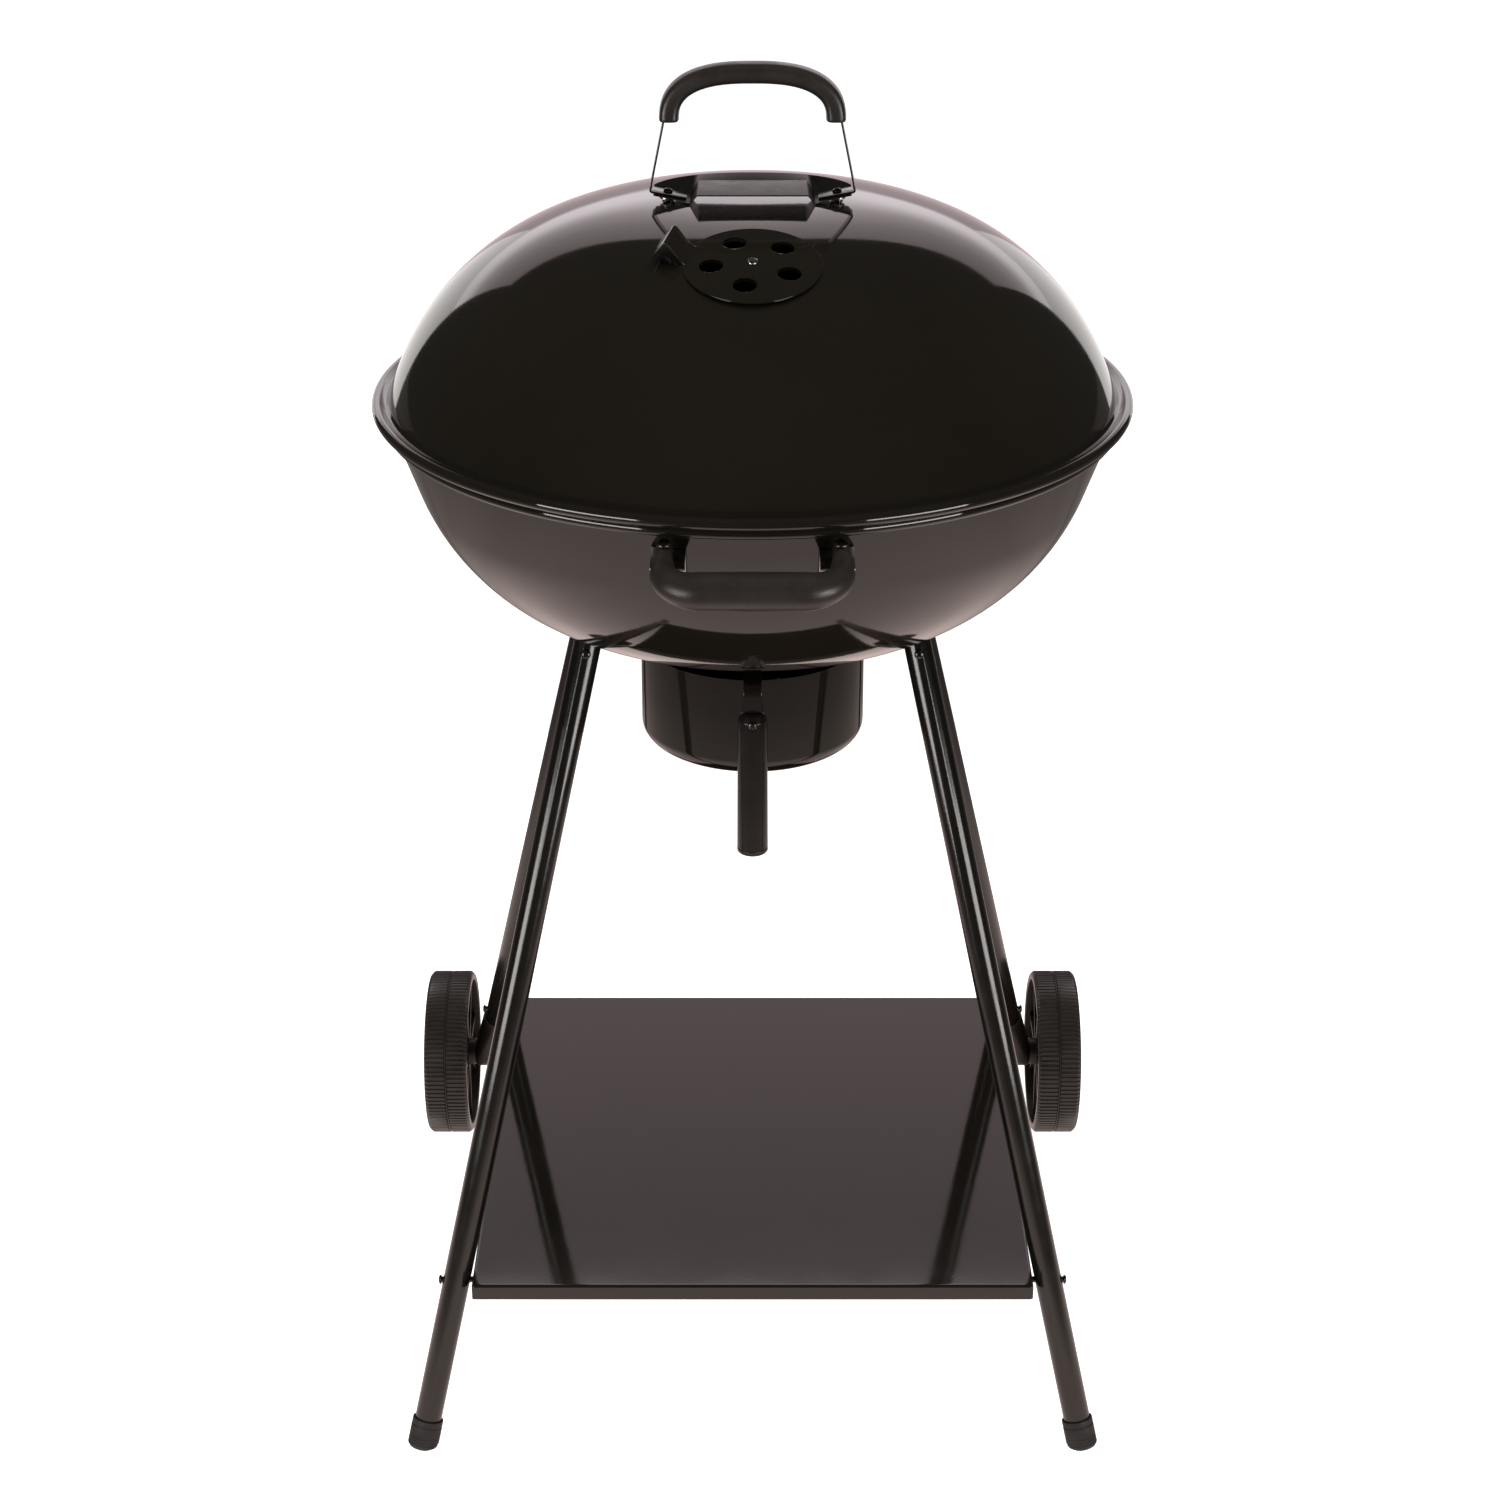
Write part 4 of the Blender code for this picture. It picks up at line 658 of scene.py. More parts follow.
def bowl_height(radius, inset=0.0):
    """Height of the bowl's outer surface, or of one inset from it, over the crown or the knuckle."""
    crown_edge = (BOWL_CROWN - inset) * math.cos(math.radians(CROWN_EDGE_ANGLE))
    if radius <= crown_edge:
        return CROWN_CENTRE.y - math.sqrt((BOWL_CROWN - inset) ** 2 - radius * radius)
    return KNUCKLE_CENTRE.y - math.sqrt((BOWL_KNUCKLE - inset) ** 2 - (radius - KNUCKLE_CENTRE.x) ** 2)


def bowl_side(inset):
    """One side of the bowl's section, from the top of the wall down to the axis."""
    top_z = BEAD_Z - 0.7 * BEAD_WIRE
    wall = [(bowl_radius(top_z, inset), top_z)]
    wall_angle = -math.degrees(BOWL_WALL_LEAN)
    knuckle = arc(KNUCKLE_CENTRE, BOWL_KNUCKLE - inset, wall_angle, CROWN_EDGE_ANGLE, 34)
    crown = arc(CROWN_CENTRE, BOWL_CROWN - inset, CROWN_EDGE_ANGLE, -90.0, 16)
    return wall + knuckle + crown[1:-1] + [(0.0, CROWN_CENTRE.y - BOWL_CROWN + inset)]


def lid_height(radius):
    share = 1.0 - (radius / LID_BASE_R) ** LID_RADIAL_POWER
    return LID_BASE_Z + (LID_APEX_Z - LID_BASE_Z) * share ** (1.0 / LID_RISE_POWER)


def lid_side(inset, count):
    """The dome's section from the axis down to the foot of its wall."""
    points = []
    nudge = 0.0002
    for index in range(count + 1):
        radius = LID_WALL_R * math.sin(0.5 * math.pi * index / count)
        inner = max(radius - nudge, 0.0)
        slope = (lid_height(radius + nudge) - lid_height(inner)) / (radius + nudge - inner)
        normal = Vector((-slope, 1.0)).normalized() if index else Vector((0.0, 1.0))
        points.append((max(radius - inset * normal.x, 0.0), lid_height(radius) - inset * normal.y))
    return points


# ---------------------------------------------------------------- fasteners
def screw(node, matrix, clamp, head_r, shank_r):
    """Screw with a cross recess, its washer face at z = 0, and a hexagon nut."""
    head_h = 0.62 * head_r
    nut_h = 0.8 * head_r
    crown = [(0.0, head_h), (0.45 * head_r, 0.96 * head_h), (0.8 * head_r, 0.74 * head_h),
             (0.97 * head_r, 0.38 * head_h), (head_r, 0.15 * head_h), (0.97 * head_r, 0.0)]
    foot = -clamp - nut_h
    shank = [(shank_r, 0.0), (shank_r, foot - 0.0003), (0.7 * shank_r, foot - 0.0008), (0.0, foot - 0.0008)]
    piece = lathed(node, crown + shank, 32, matrix=matrix)
    wing = 0.30 * head_r
    for turn in (0.0, 90.0):
        outline = rectangle(wing, 1.25 * head_r, 0.3 * wing)
        cut(piece, prism("recess", outline, 0.42 * head_h, 2 * head_h, matrix @ spin(45.0 + turn)))
    nut_r = 1.08 * head_r
    bore = 1.001 * shank_r
    outline = [(0.90 * nut_r, -clamp), (nut_r, -clamp - 0.12 * nut_h), (nut_r, foot + 0.12 * nut_h),
               (0.90 * nut_r, foot), (bore, foot), (bore, -clamp)]
    join(piece, lathed(node + "_nut", outline, 6, True, matrix))
    return settle(piece, node, "zinc_steel", look="blackened_steel")


def join(piece, *others):
    """Put the meshes of others into a piece as further bodies."""
    bpy.context.view_layer.update()
    shape = bmesh.new()
    shape.from_mesh(piece.data)
    inverse = piece.matrix_world.inverted()
    for other in others:
        other.data.transform(inverse @ other.matrix_world)
        shape.from_mesh(other.data)
        bpy.data.objects.remove(other, do_unlink=True)
    shape.to_mesh(piece.data)
    shape.free()
    return piece


# ---------------------------------------------------------------- lid
def vent_normal():
    return Vector((0.0, -math.sin(VENT_TILT), math.cos(VENT_TILT)))


def vent_frame():
    """The vent disc's frame: on the lid's surface, Z along the surface normal."""
    return frame_at((0.0, VENT_Y, lid_height(-VENT_Y)), vent_normal(), (1.0, 0.0, 0.0))


def vent_hole_places():
    places = []
    for index in range(VENT_HOLES):
        angle = VENT_HOLE_PHASE + 2 * math.pi * index / VENT_HOLES
        local = Vector((math.cos(angle), math.sin(angle), 0.0)) * VENT_HOLE_CIRCLE
        places.append((vent_frame() @ local, vent_normal()))
    return places


def strap_foot_normal(side):
    """Upward normal of one turned-in foot of the lid handle's strap."""
    run = STRAP_CORNER[0] - STRAP_TOE[0]
    rise = STRAP_CORNER[1] - STRAP_TOE[1]
    return Vector((-side * rise, 0.0, run)).normalized()


def screw_point(side, height):
    """A point on a lid screw's axis, measured from the middle of the strap's foot."""
    share = (LID_SCREW_X - STRAP_TOE[0]) / (STRAP_CORNER[0] - STRAP_TOE[0])
    middle_z = STRAP_TOE[1] + share * (STRAP_CORNER[1] - STRAP_TOE[1])
    return Vector((side * LID_SCREW_X, 0.0, middle_z)) + strap_foot_normal(side) * height


def make_lid():
    groove = [(0.2770, 0.8072, 0.0030), (0.2792, 0.8052, 0.0012)]
    roll = arc((BRIM_R - BRIM_WIRE, BRIM_Z), BRIM_WIRE, 135.0, -90.0, 26)
    seat = [(0.2765, LID_SEAT_Z, 0.0012), (0.2744, LID_SEAT_Z + 0.0030, 0.0010)]
    outline = filleted(lid_side(0.0, 72) + groove + roll + seat + lid_side(SHEET, 40)[::-1])
    lid = lathed("lid", outline, FINE)
    cut(lid, drills(vent_hole_places(), VENT_HOLE_R, 0.020))
    feet = [(screw_point(side, -0.006), strap_foot_normal(side)) for side in (-1, 1)]
    cut(lid, drills(feet, 0.0034, 0.016))
    settle(lid, "lid_shell", "enamel")


def make_vent():
    """Domed disc, five holes and a tent-shaped tab, all in one pressing."""
    def drop(radius):
        return VENT_LIFT - radius * radius / (2 * VENT_CURVE)

    count = 22
    radii = [VENT_R * math.sin(0.5 * math.pi * i / count) for i in range(count)]
    top = [(r, drop(r) + VENT_SHEET) for r in radii] + [(VENT_R, drop(VENT_R) + VENT_SHEET, 0.0004)]
    under = [(VENT_R, drop(VENT_R), 0.0002)] + [(r, drop(r)) for r in reversed(radii)]
    disc = lathed("vent", filleted(top + under), 96, matrix=vent_frame())
    tab_path = filleted([(0.0455, drop(0.0455) + 0.5 * VENT_SHEET), (0.0500, 0.0020, 0.0012),
                         (0.0590, 0.0140, 0.0018), (0.0615, 0.0140, 0.0018), (0.0705, 0.0008)], steps=4)
    section = rectangle(0.0012, 0.0250, 0.00035)
    rings = swept_rings([(x, 0.0, z) for x, z in tab_path], section, (0, 1, 0))
    weld(disc, lofted("tab", rings, vent_frame() @ Matrix.Rotation(VENT_TAB_AZIMUTH, 4, "Z")))
    cut(disc, drills(vent_hole_places(), VENT_HOLE_R, 0.016, 48))
    settle(disc, "lid_vent_disc", "enamel", bevel=0.00018)

    def star(angle, index):
        return 0.0006 * math.cos(5 * angle) if index in (2, 3) else 0.0

    seat = vent_normal() * (VENT_LIFT + VENT_SHEET + GAP)
    low = -0.0058
    outline = [(0.0, 0.0017), (0.0010, 0.0015), (0.0022, 0.0016), (0.0030, 0.0010), (0.0038, 0.0006),
               (0.0040, 0.0), (0.0020, 0.0), (0.0020, low), (0.0040, low), (0.0038, low - 0.0012),
               (0.0024, low - 0.0024), (0.0, low - 0.0028)]
    rivet = lathed("rivet", outline, 40, matrix=Matrix.Translation(seat) @ vent_frame(), ripple=star)
    settle(rivet, "vent_rivet", "zinc_steel")


def lid_grip_point(turn, outset=0.0):
    """A point of the grip's centre line, from turn 0 (right foot) over the top to turn 1 (left foot)."""
    def at(share):
        angle = math.pi * share
        reach = math.copysign(abs(math.cos(angle)) ** (2 / LID_GRIP_POWER), math.cos(angle))
        rise = math.sin(angle) ** (2 / LID_GRIP_POWER) if 0.0 < share < 1.0 else 0.0
        height = LID_GRIP_FOOT_Z + (LID_GRIP_TOP_Z - LID_GRIP_FOOT_Z) * rise
        return Vector((LID_GRIP_HALF * reach, 0.0, height))

    point = at(turn)
    if outset:
        nudge = 0.002
        along = (at(min(turn + nudge, 1.0)) - at(max(turn - nudge, 0.0))).normalized()
        if turn in (0.0, 1.0):
            along = Vector((0.0, 0.0, 1.0 if turn == 0.0 else -1.0))
        point = point + outset * along.cross(Vector((0.0, -1.0, 0.0)))
    return point


def grip_turns(count):
    """Even steps over the grip, closer together on its two shoulders."""
    return [i / count - 0.35 * math.sin(4 * math.pi * i / count) / (4 * math.pi) for i in range(count + 1)]


def shield_rear(x):
    """Reach and height of the shield's rear edge, which is a flat oval arc."""
    share = min(abs(x) / SHIELD_TIP_X, 1.0)
    reach = SHIELD_REAR_REACH * math.sqrt(1.0 - SHIELD_REAR_FULLNESS * share ** 4)
    return reach, SHIELD_REAR_Z - SHIELD_REAR_DROP * share ** 2.2


def shield_ring(x, z, front):
    """An upright section of the shield: flat in front and under the strap, turned up to the rear edge."""
    half = SHIELD_SHEET / 2
    rear, rear_z = shield_rear(x)
    lift = rear_z - z
    raised = max(front - SHIELD_TOE_REACH, 0.0) / (SHIELD_MIDDLE_REACH - SHIELD_TOE_REACH)
    bend = SHIELD_BEND_REACH + SHIELD_BEND_SHIFT * raised
    under = [(half, -front, 0.0003), (half, bend, 0.0030), (half - lift, rear, 0.0003)]
    over = [(-half - lift, rear, 0.0003), (-half, bend, 0.0030), (-half, -front, 0.0003)]
    return [Vector((x, y, z - down)) for down, y in filleted(under + over, True, 4)]


def shield_rings(foot_drop):
    """Sections of the oval shield from its right tip over the raised middle to its left tip."""
    slope = (STRAP_CORNER[1] - STRAP_TOE[1]) / (STRAP_CORNER[0] - STRAP_TOE[0])
    under_screw = screw_point(1, -foot_drop)
    tip, toe = [(x, under_screw.z + slope * (x - under_screw.x)) for x in (SHIELD_TIP_X, SHIELD_TOE_X)]
    half = []
    for index in range(11):
        share = index / 10
        front = SHIELD_TIP_REACH + (SHIELD_TOE_REACH - SHIELD_TIP_REACH) * share ** 2
        half.append((tip[0] + (toe[0] - tip[0]) * share, tip[1] + (toe[1] - tip[1]) * share, front))
    rise = SHIELD_Z - toe[1]
    run = toe[0] - SHIELD_HALF
    for share in (0.10, 0.28, 0.50, 0.72, 0.90, 1.0):
        eased = share * share * (3.0 - 2.0 * share)
        front = SHIELD_TOE_REACH + (SHIELD_MIDDLE_REACH - SHIELD_TOE_REACH) * share
        half.append((toe[0] - run * share, toe[1] + rise * (0.35 * eased + 0.65 * share), front))
    for share in (0.06, 0.15, 0.35, 0.6, 0.8):
        half.append((SHIELD_HALF * (1.0 - share), SHIELD_Z, SHIELD_MIDDLE_REACH))
    middle = [(0.0, SHIELD_Z, SHIELD_MIDDLE_REACH)]
    stations = half + middle + [(-x, z, front) for x, z, front in reversed(half)]
    return [shield_ring(*station) for station in stations]


def make_lid_handle():
    over = [lid_grip_point(turn, STRAP_IN_GRIP) for turn in grip_turns(56)]
    flat = [(STRAP_TOE[0], STRAP_TOE[1]), (*STRAP_CORNER, 0.0022), (over[0].x, over[0].z, 0.006)]
    flat += [(p.x, p.z) for p in over[1:-1]]
    flat += [(-x, *rest) for x, *rest in reversed(flat[:3])]
    path = [(x, 0.0, z) for x, z in filleted(flat)]
    strap = lofted("strap", swept_rings(path, rectangle(STRAP_SHEET, STRAP_WIDTH, 0.0005), (0, 1, 0)))

    ends = (0.0, 0.0003, 0.0009, 0.0018)
    shrink = (0.84, 0.93, 0.985, 1.0)
    line = [lid_grip_point(turn) for turn in grip_turns(64)]
    foot_right = [line[0] + Vector((0.0, 0.0, rise)) for rise in ends]
    foot_left = [line[-1] + Vector((0.0, 0.0, rise)) for rise in reversed(ends)]
    shell = foot_right + line[1:-1] + foot_left
    section = ellipse(LID_GRIP_THICK / 2 - 0.0001, LID_GRIP_WIDE / 2, 44, 3.4)

    def grip_section(index):
        near = min(index, len(shell) - 1 - index)
        scale = shrink[near] if near < len(shrink) else 1.0
        return [(scale * u, scale * v) for u, v in section]

    grip = lofted("grip", swept_rings(shell, grip_section, (0, 1, 0)))
    slot_path = [over[0] - Vector((0, 0, 0.004))] + over + [over[-1] - Vector((0, 0, 0.004))]
    slot_section = rectangle(STRAP_SHEET + 2 * GAP, STRAP_WIDTH + 2 * GAP)
    cut(grip, lofted("slot", swept_rings(slot_path, slot_section, (0, 1, 0))))
    settle(grip, "lid_handle_grip", "matte_plastic")

    foot_drop = STRAP_SHEET / 2 + GAP + SHIELD_SHEET / 2
    shield = lofted("shield", shield_rings(foot_drop))

    strap_holes = [(screw_point(side, 0.0), strap_foot_normal(side)) for side in (-1, 1)]
    cut(strap, drills(strap_holes, SCREW_HOLE_R, 0.006))
    settle(strap, "lid_handle_strap", "painted_tube")
    shield_holes = [(screw_point(side, -foot_drop), strap_foot_normal(side)) for side in (-1, 1)]
    cut(shield, drills(shield_holes, SCREW_HOLE_R, 0.004))
    settle(shield, "lid_heat_shield", "shield_coating")
    for side, label in ((-1, "left"), (1, "right")):
        normal = strap_foot_normal(side)
        top = foot_drop + SHIELD_SHEET / 2 + GAP
        outline = filleted([(SPACER_R, 0.0, 0.0004), (SPACER_R, -SPACER_HEIGHT, 0.0004),
                            (SCREW_HOLE_R, -SPACER_HEIGHT, 0.0002), (SCREW_HOLE_R, 0.0, 0.0002)], True, 3)
        spacer = lathed("spacer", outline, 40, True, frame_at(screw_point(side, -top), normal, (0, 1, 0)))
        settle(spacer, "lid_handle_spacer_" + label, "zinc_steel")
        head = frame_at(screw_point(side, STRAP_SHEET / 2 + GAP), normal, (0, 1, 0))
        screw("lid_handle_screw_" + label, head, LID_SCREW_GRIP, LID_SCREW_HEAD_R, SHANK_R)


# ---------------------------------------------------------------- bowl and grates
def make_bowl():
    bead = arc((BEAD_R, BEAD_Z), BEAD_WIRE, 180.0, -135.0, 30)
    bowl = lathed("bowl", bowl_side(SHEET)[::-1] + bead + bowl_side(0.0), FINE)
    shape = bmesh.new()
    for index in range(SLOT_COUNT):
        outline = arc((SLOT_OUTER_R - SLOT_HALF_WIDTH, 0.0), SLOT_HALF_WIDTH, -90, 90, 13)
        outline += arc((SLOT_INNER_R + SLOT_HALF_WIDTH, 0.0), SLOT_HALF_WIDTH, 90, 270, 13)
        turn = spin(90.0 + 360.0 * index / SLOT_COUNT)
        levels = (BOWL_BOTTOM_Z - 0.01, BOWL_BOTTOM_Z + 0.03)
        add_loft(shape, [[turn @ Vector((x, y, z)) for x, y in outline] for z in levels])
    cut(bowl, to_object("slots", shape))
    cut(bowl, drills([((0.0, 0.0, BOWL_BOTTOM_Z), (0, 0, 1))], SHAFT_BORE_R, 0.010))
    settle(bowl, "bowl_shell", "enamel")


def make_grate(node, radius, height, rod_count):
    """Round wire grate: a ring, two bars under the rods, and rods welded on top with rounded ends."""
    shape = bmesh.new()
    outline = [(radius + u, height + v) for u, v in ellipse(RING_WIRE, RING_WIRE, 14)]
    add_lathe(shape, outline, 144, closed=True)
    for side in (-1, 1):
        x = side * GRATE_BAR_SHARE * radius
        reach = math.sqrt(radius * radius - x * x)
        add_wire(shape, (x, -reach, height), (x, reach, height), 0.8 * RING_WIRE)
    pitch = 2 * radius / (rod_count + 1)
    rod_z = height + RING_WIRE + ROD_WIRE - WELD_DEPTH
    for index in range(rod_count):
        y = pitch * (index - (rod_count - 1) / 2)
        reach = math.sqrt(radius * radius - y * y) + 0.4 * ROD_WIRE
        add_wire(shape, (-reach, y, rod_z), (reach, y, rod_z), ROD_WIRE)
    settle(to_object(node, shape), node, "chrome_wire", crease=60.0)


def make_grate_supports():
    """Four angle brackets welded inside the wall, with the cooking grate on them."""
    seat_z = COOK_GRATE_Z - RING_WIRE - GAP
    plate = 0.0020
    gap = 0.0012
    foot_z = seat_z - 0.0180
    reach_r = COOK_GRATE_R - 0.006

    def section(across):
        def wall(height):
            return math.sqrt((bowl_radius(height, SHEET) - gap) ** 2 - across * across)

        flat = [(reach_r, seat_z), (wall(seat_z), seat_z, 0.0030), (wall(foot_z), foot_z),
                (wall(foot_z) - plate, foot_z), (wall(seat_z - plate) - plate, seat_z - plate, 0.0015),
                (reach_r, seat_z - plate)]
        return [Vector((x, across, z)) for x, z in filleted(flat, True, 4)]

    half = SUPPORT_LENGTH / 2
    for index in range(4):
        rings = [section(half * share) for share in (-1.0, -0.5, 0.0, 0.5, 1.0)]
        support = lofted("support", rings, spin(45.0 + 90.0 * index))
        settle(support, "grate_support_%d" % (index + 1), "enamel", bevel=0.0003)


# ---------------------------------------------------------------- bowl handle
def handle_matrix():
    """Frame of the handle's plane: X across, Y back and up to the bowl, origin between the bolts."""
    up = Vector((0.0, -math.sin(HANDLE_SLOPE), math.cos(HANDLE_SLOPE)))
    return frame_at((0.0, HANDLE_BOLT_Y, HANDLE_BOLT_Z), up, (1.0, 0.0, 0.0))


def handle_line():
    """Centre line of the U-shaped grip as (x, forward, radius), from the right eye to the left one."""
    forward = (HANDLE_BOLT_Y - HANDLE_BAR_Y) / math.cos(HANDLE_SLOPE)
    end = -0.0065
    half = [(HANDLE_HALF, end + rise, HANDLE_EYE_R * share)
            for rise, share in ((0.0, 0.60), (0.0005, 0.80), (0.0014, 0.94), (0.0028, 1.0), (0.0150, 1.0))]
    bend_centre = (HANDLE_HALF - HANDLE_CORNER, forward - HANDLE_CORNER)
    bend = arc(bend_centre, HANDLE_CORNER, 0.0, 90.0, 15)
    for index, (x, y) in enumerate(bend):
        share = (index / (len(bend) - 1)) ** 0.8
        half.append((x, y, HANDLE_ARM_R + (HANDLE_BAR_R - 0.0002 - HANDLE_ARM_R) * share))
    half += [(bend_centre[0] * share, forward, HANDLE_BAR_R - 0.0001) for share in (0.66, 0.33)]
    return half + [(0.0, forward, HANDLE_BAR_R)] + [(-x, y, r) for x, y, r in reversed(half)]


def make_bowl_handle():
    line = handle_line()
    path = [(x, -y, 0.0) for x, y, _ in line]
    rings = swept_rings(path, lambda i: ellipse(line[i][2], line[i][2], 32), (0, 0, 1))
    grip = lofted("handle", rings, handle_matrix())
    axis = handle_matrix().to_3x3() @ Vector((0.0, 0.0, 1.0))
    plate_drop = HANDLE_EYE_R + 2 * GAP
    slope = math.tan(HANDLE_SLOPE)

    def plate_top(y):
        on_axis = Vector((0.0, HANDLE_BOLT_Y, HANDLE_BOLT_Z)) - axis * plate_drop
        return on_axis.z + (y - on_axis.y) * slope

    def section(x):
        def wall(height):
            return -math.sqrt((bowl_radius(height) + GAP) ** 2 - x * x)

        foot_z = plate_top(HANDLE_BOLT_Y) - 0.0180
        seat_y = wall(plate_top(-0.265))
        seat_z = plate_top(seat_y)
        low_z = seat_z - HANDLE_PLATE
        flat = [(HANDLE_PLATE_FRONT_Y, plate_top(HANDLE_PLATE_FRONT_Y)), (wall(seat_z), seat_z, 0.0030),
                (wall(foot_z), foot_z), (wall(foot_z) - HANDLE_PLATE, foot_z),
                (wall(low_z) - HANDLE_PLATE, plate_top(wall(low_z) - HANDLE_PLATE) - HANDLE_PLATE, 0.0015),
                (HANDLE_PLATE_FRONT_Y, plate_top(HANDLE_PLATE_FRONT_Y) - HANDLE_PLATE)]
        return [Vector((x, y, z)) for y, z in filleted(flat, True, 4)]

    spots = [Vector((side * HANDLE_HALF, HANDLE_BOLT_Y, HANDLE_BOLT_Z)) for side in (-1, 1)]
    cut(grip, drills([(spot, axis) for spot in spots], SCREW_HOLE_R, 0.030))
    settle(grip, "bowl_handle_grip", "matte_plastic")
    for spot, side, label in zip(spots, (-1, 1), ("left", "right")):
        xs = [side * (HANDLE_HALF - 0.0144 + 0.0240 * i / 6) for i in range(7)]
        bracket = lofted("bracket", [section(x) for x in xs])
        cut(bracket, drills([(spot, axis)], SCREW_HOLE_R, 0.030))
        settle(bracket, "bowl_handle_bracket_" + label, "zinc_steel", bevel=0.0003)
        clamp = 2 * HANDLE_EYE_R + HANDLE_PLATE + 0.0016
        seat = frame_at(spot + axis * (HANDLE_EYE_R + 0.0006), axis, (1, 0, 0))
        screw("bowl_handle_bolt_" + label, seat, clamp, HANDLE_BOLT_HEAD_R, SHANK_R)


# ---------------------------------------------------------------- sweeper and ash catcher
def make_sweeper():
    lift = SHEET + 0.0014
    sheet = 0.0015
    hub_low = bowl_height(0.0, lift)
    bore = SHAFT_BORE_R
    outline = filleted([(0.020, hub_low + sheet, 0.0004), (0.020, hub_low, 0.0004), (bore, hub_low),
                        (bore, hub_low + sheet)], True, 3)
    hub = lathed("blades", outline, 72, True)
    count = 26
    for index in range(SLOT_COUNT):
        rings = []
        for station in range(count + 1):
            share = station / count
            radius = 0.012 + (BLADE_REACH - 0.012) * share
            half = 0.011 + 0.006 * math.sin(math.pi * (radius / BLADE_REACH) ** 0.8)
            tip = max((share - 0.93) / 0.07, 0.0)
            half *= math.sqrt(1.0 - 0.75 * tip * tip)
            across = [half * (2 * i / 6 - 1) for i in range(7)]
            low = [Vector((radius, y, bowl_height(math.hypot(radius, y), lift))) for y in across]
            rings.append(low + [spot + Vector((0.0, 0.0, sheet)) for spot in reversed(low)])
        angle = 90.0 + 360.0 * index / SLOT_COUNT + math.degrees(BLADE_OFFSET)
        weld(hub, lofted("blade", rings, spin(angle)))
    settle(hub, "sweeper_blades", "sweeper_steel", bevel=0.0002)

    shaft_foot = LEVER_Z - LEVER_SHEET / 2 - GAP
    collar = hub_low + sheet + GAP
    head_r = 0.0075
    outline = filleted([(0.0, collar + 0.0042), (0.6 * head_r, collar + 0.0040, 0.0015),
                        (head_r, collar + 0.0025, 0.0010), (head_r, collar, 0.0004), (SHAFT_R, collar),
                        (SHAFT_R, shaft_foot), (head_r, shaft_foot, 0.0004),
                        (head_r, shaft_foot - 0.0030, 0.0008), (0.0, shaft_foot - 0.0030)])
    settle(lathed("shaft", outline, 48), "sweeper_shaft", "zinc_steel")


def make_lever():
    bend = 0.0080
    half = LEVER_WIDTH / 2
    tip_y = 0.0120
    turn_in = [(tip_y - half * (1 - math.cos(math.radians(a))), LEVER_Z) for a in (14, 30, 45, 60, 75, 90)]
    corner = arc((LEVER_Y + bend, LEVER_Z - bend), bend, 90.0, 180.0, 13)
    flat = turn_in + corner + [(LEVER_Y, GRIP_TOP_Z - 0.055)]
    widths = [math.sin(math.radians(a)) for a in (14, 30, 45, 60, 75, 90)]

    def section(index):
        wide = LEVER_WIDTH * (widths[index] if index < len(widths) else 1.0)
        return rectangle(LEVER_SHEET, wide, 0.0005)

    lever = lofted("lever", swept_rings([(0.0, y, z) for y, z in flat], section, (1, 0, 0)))
    cut(lever, drills([((0.0, 0.0, LEVER_Z), (0, 0, 1))], SHAFT_BORE_R, 0.010))

    top_r = 0.0090
    bore_r = 0.0085
    seam_z = GRIP_FOOT_Z + 0.0045
    outline = filleted([(0.0, GRIP_TOP_Z), (top_r - 0.0030, GRIP_TOP_Z, 0.0015),
                        (top_r, GRIP_TOP_Z - 0.0015, 0.0025),
                        (GRIP_R - 0.0010, GRIP_TOP_Z - 0.0060, 0.0030),
                        (GRIP_R - 0.0006, GRIP_TOP_Z - 0.0120, 0.01),
                        (GRIP_R, seam_z, 0.0004), (bore_r, seam_z), (bore_r, GRIP_FOOT_Z + 0.0150),
                        (0.0, GRIP_FOOT_Z + 0.0150)])
    grip = lathed("lever_grip", outline, 64, matrix=Matrix.Translation((0.0, LEVER_Y, 0.0)))
    half_w = LEVER_WIDTH / 2 + GAP
    half_t = LEVER_SHEET / 2 + GAP
    pocket_outline = [(-half_w, -half_t), (half_w, -half_t), (half_w, half_t), (-half_w, half_t)]
    shift = Matrix.Translation((0.0, LEVER_Y, 0.0))
    cut(grip, prism("pocket", pocket_outline, GRIP_TOP_Z - 0.0560, GRIP_TOP_Z + 0.010, shift))
    screw_z = GRIP_TOP_Z - 0.0065
    crossing = [((0.0, LEVER_Y, screw_z), (0, 1, 0))]
    cut(grip, drills(crossing, 0.0022, 0.030))
    cut(lever, drills(crossing, 0.0022, 0.030))
    settle(grip, "sweeper_lever_grip", "matte_plastic", look="polished_sleeve")
    settle(lever, "sweeper_lever_arm", "painted_tube")
    head = frame_at((0.0, LEVER_Y - GRIP_R + 0.0006, screw_z), (0, -1, 0), (1, 0, 0))
    screw("sweeper_grip_screw", head, 2 * GRIP_R - 0.0008, 0.0034, 0.0018)

    plug_top = seam_z - GAP
    plug_r = bore_r - GAP
    outline = filleted([(0.0, plug_top + 0.0080), (plug_r, plug_top + 0.0080, 0.0008), (plug_r, plug_top),
                        (GRIP_R, plug_top, 0.0004), (GRIP_R, GRIP_FOOT_Z + 0.0012, 0.0010),
                        (GRIP_R - 0.0012, GRIP_FOOT_Z, 0.0010), (0.0, GRIP_FOOT_Z)])
    settle(lathed("plug", outline, 64, matrix=shift), "sweeper_grip_plug", "matte_plastic")


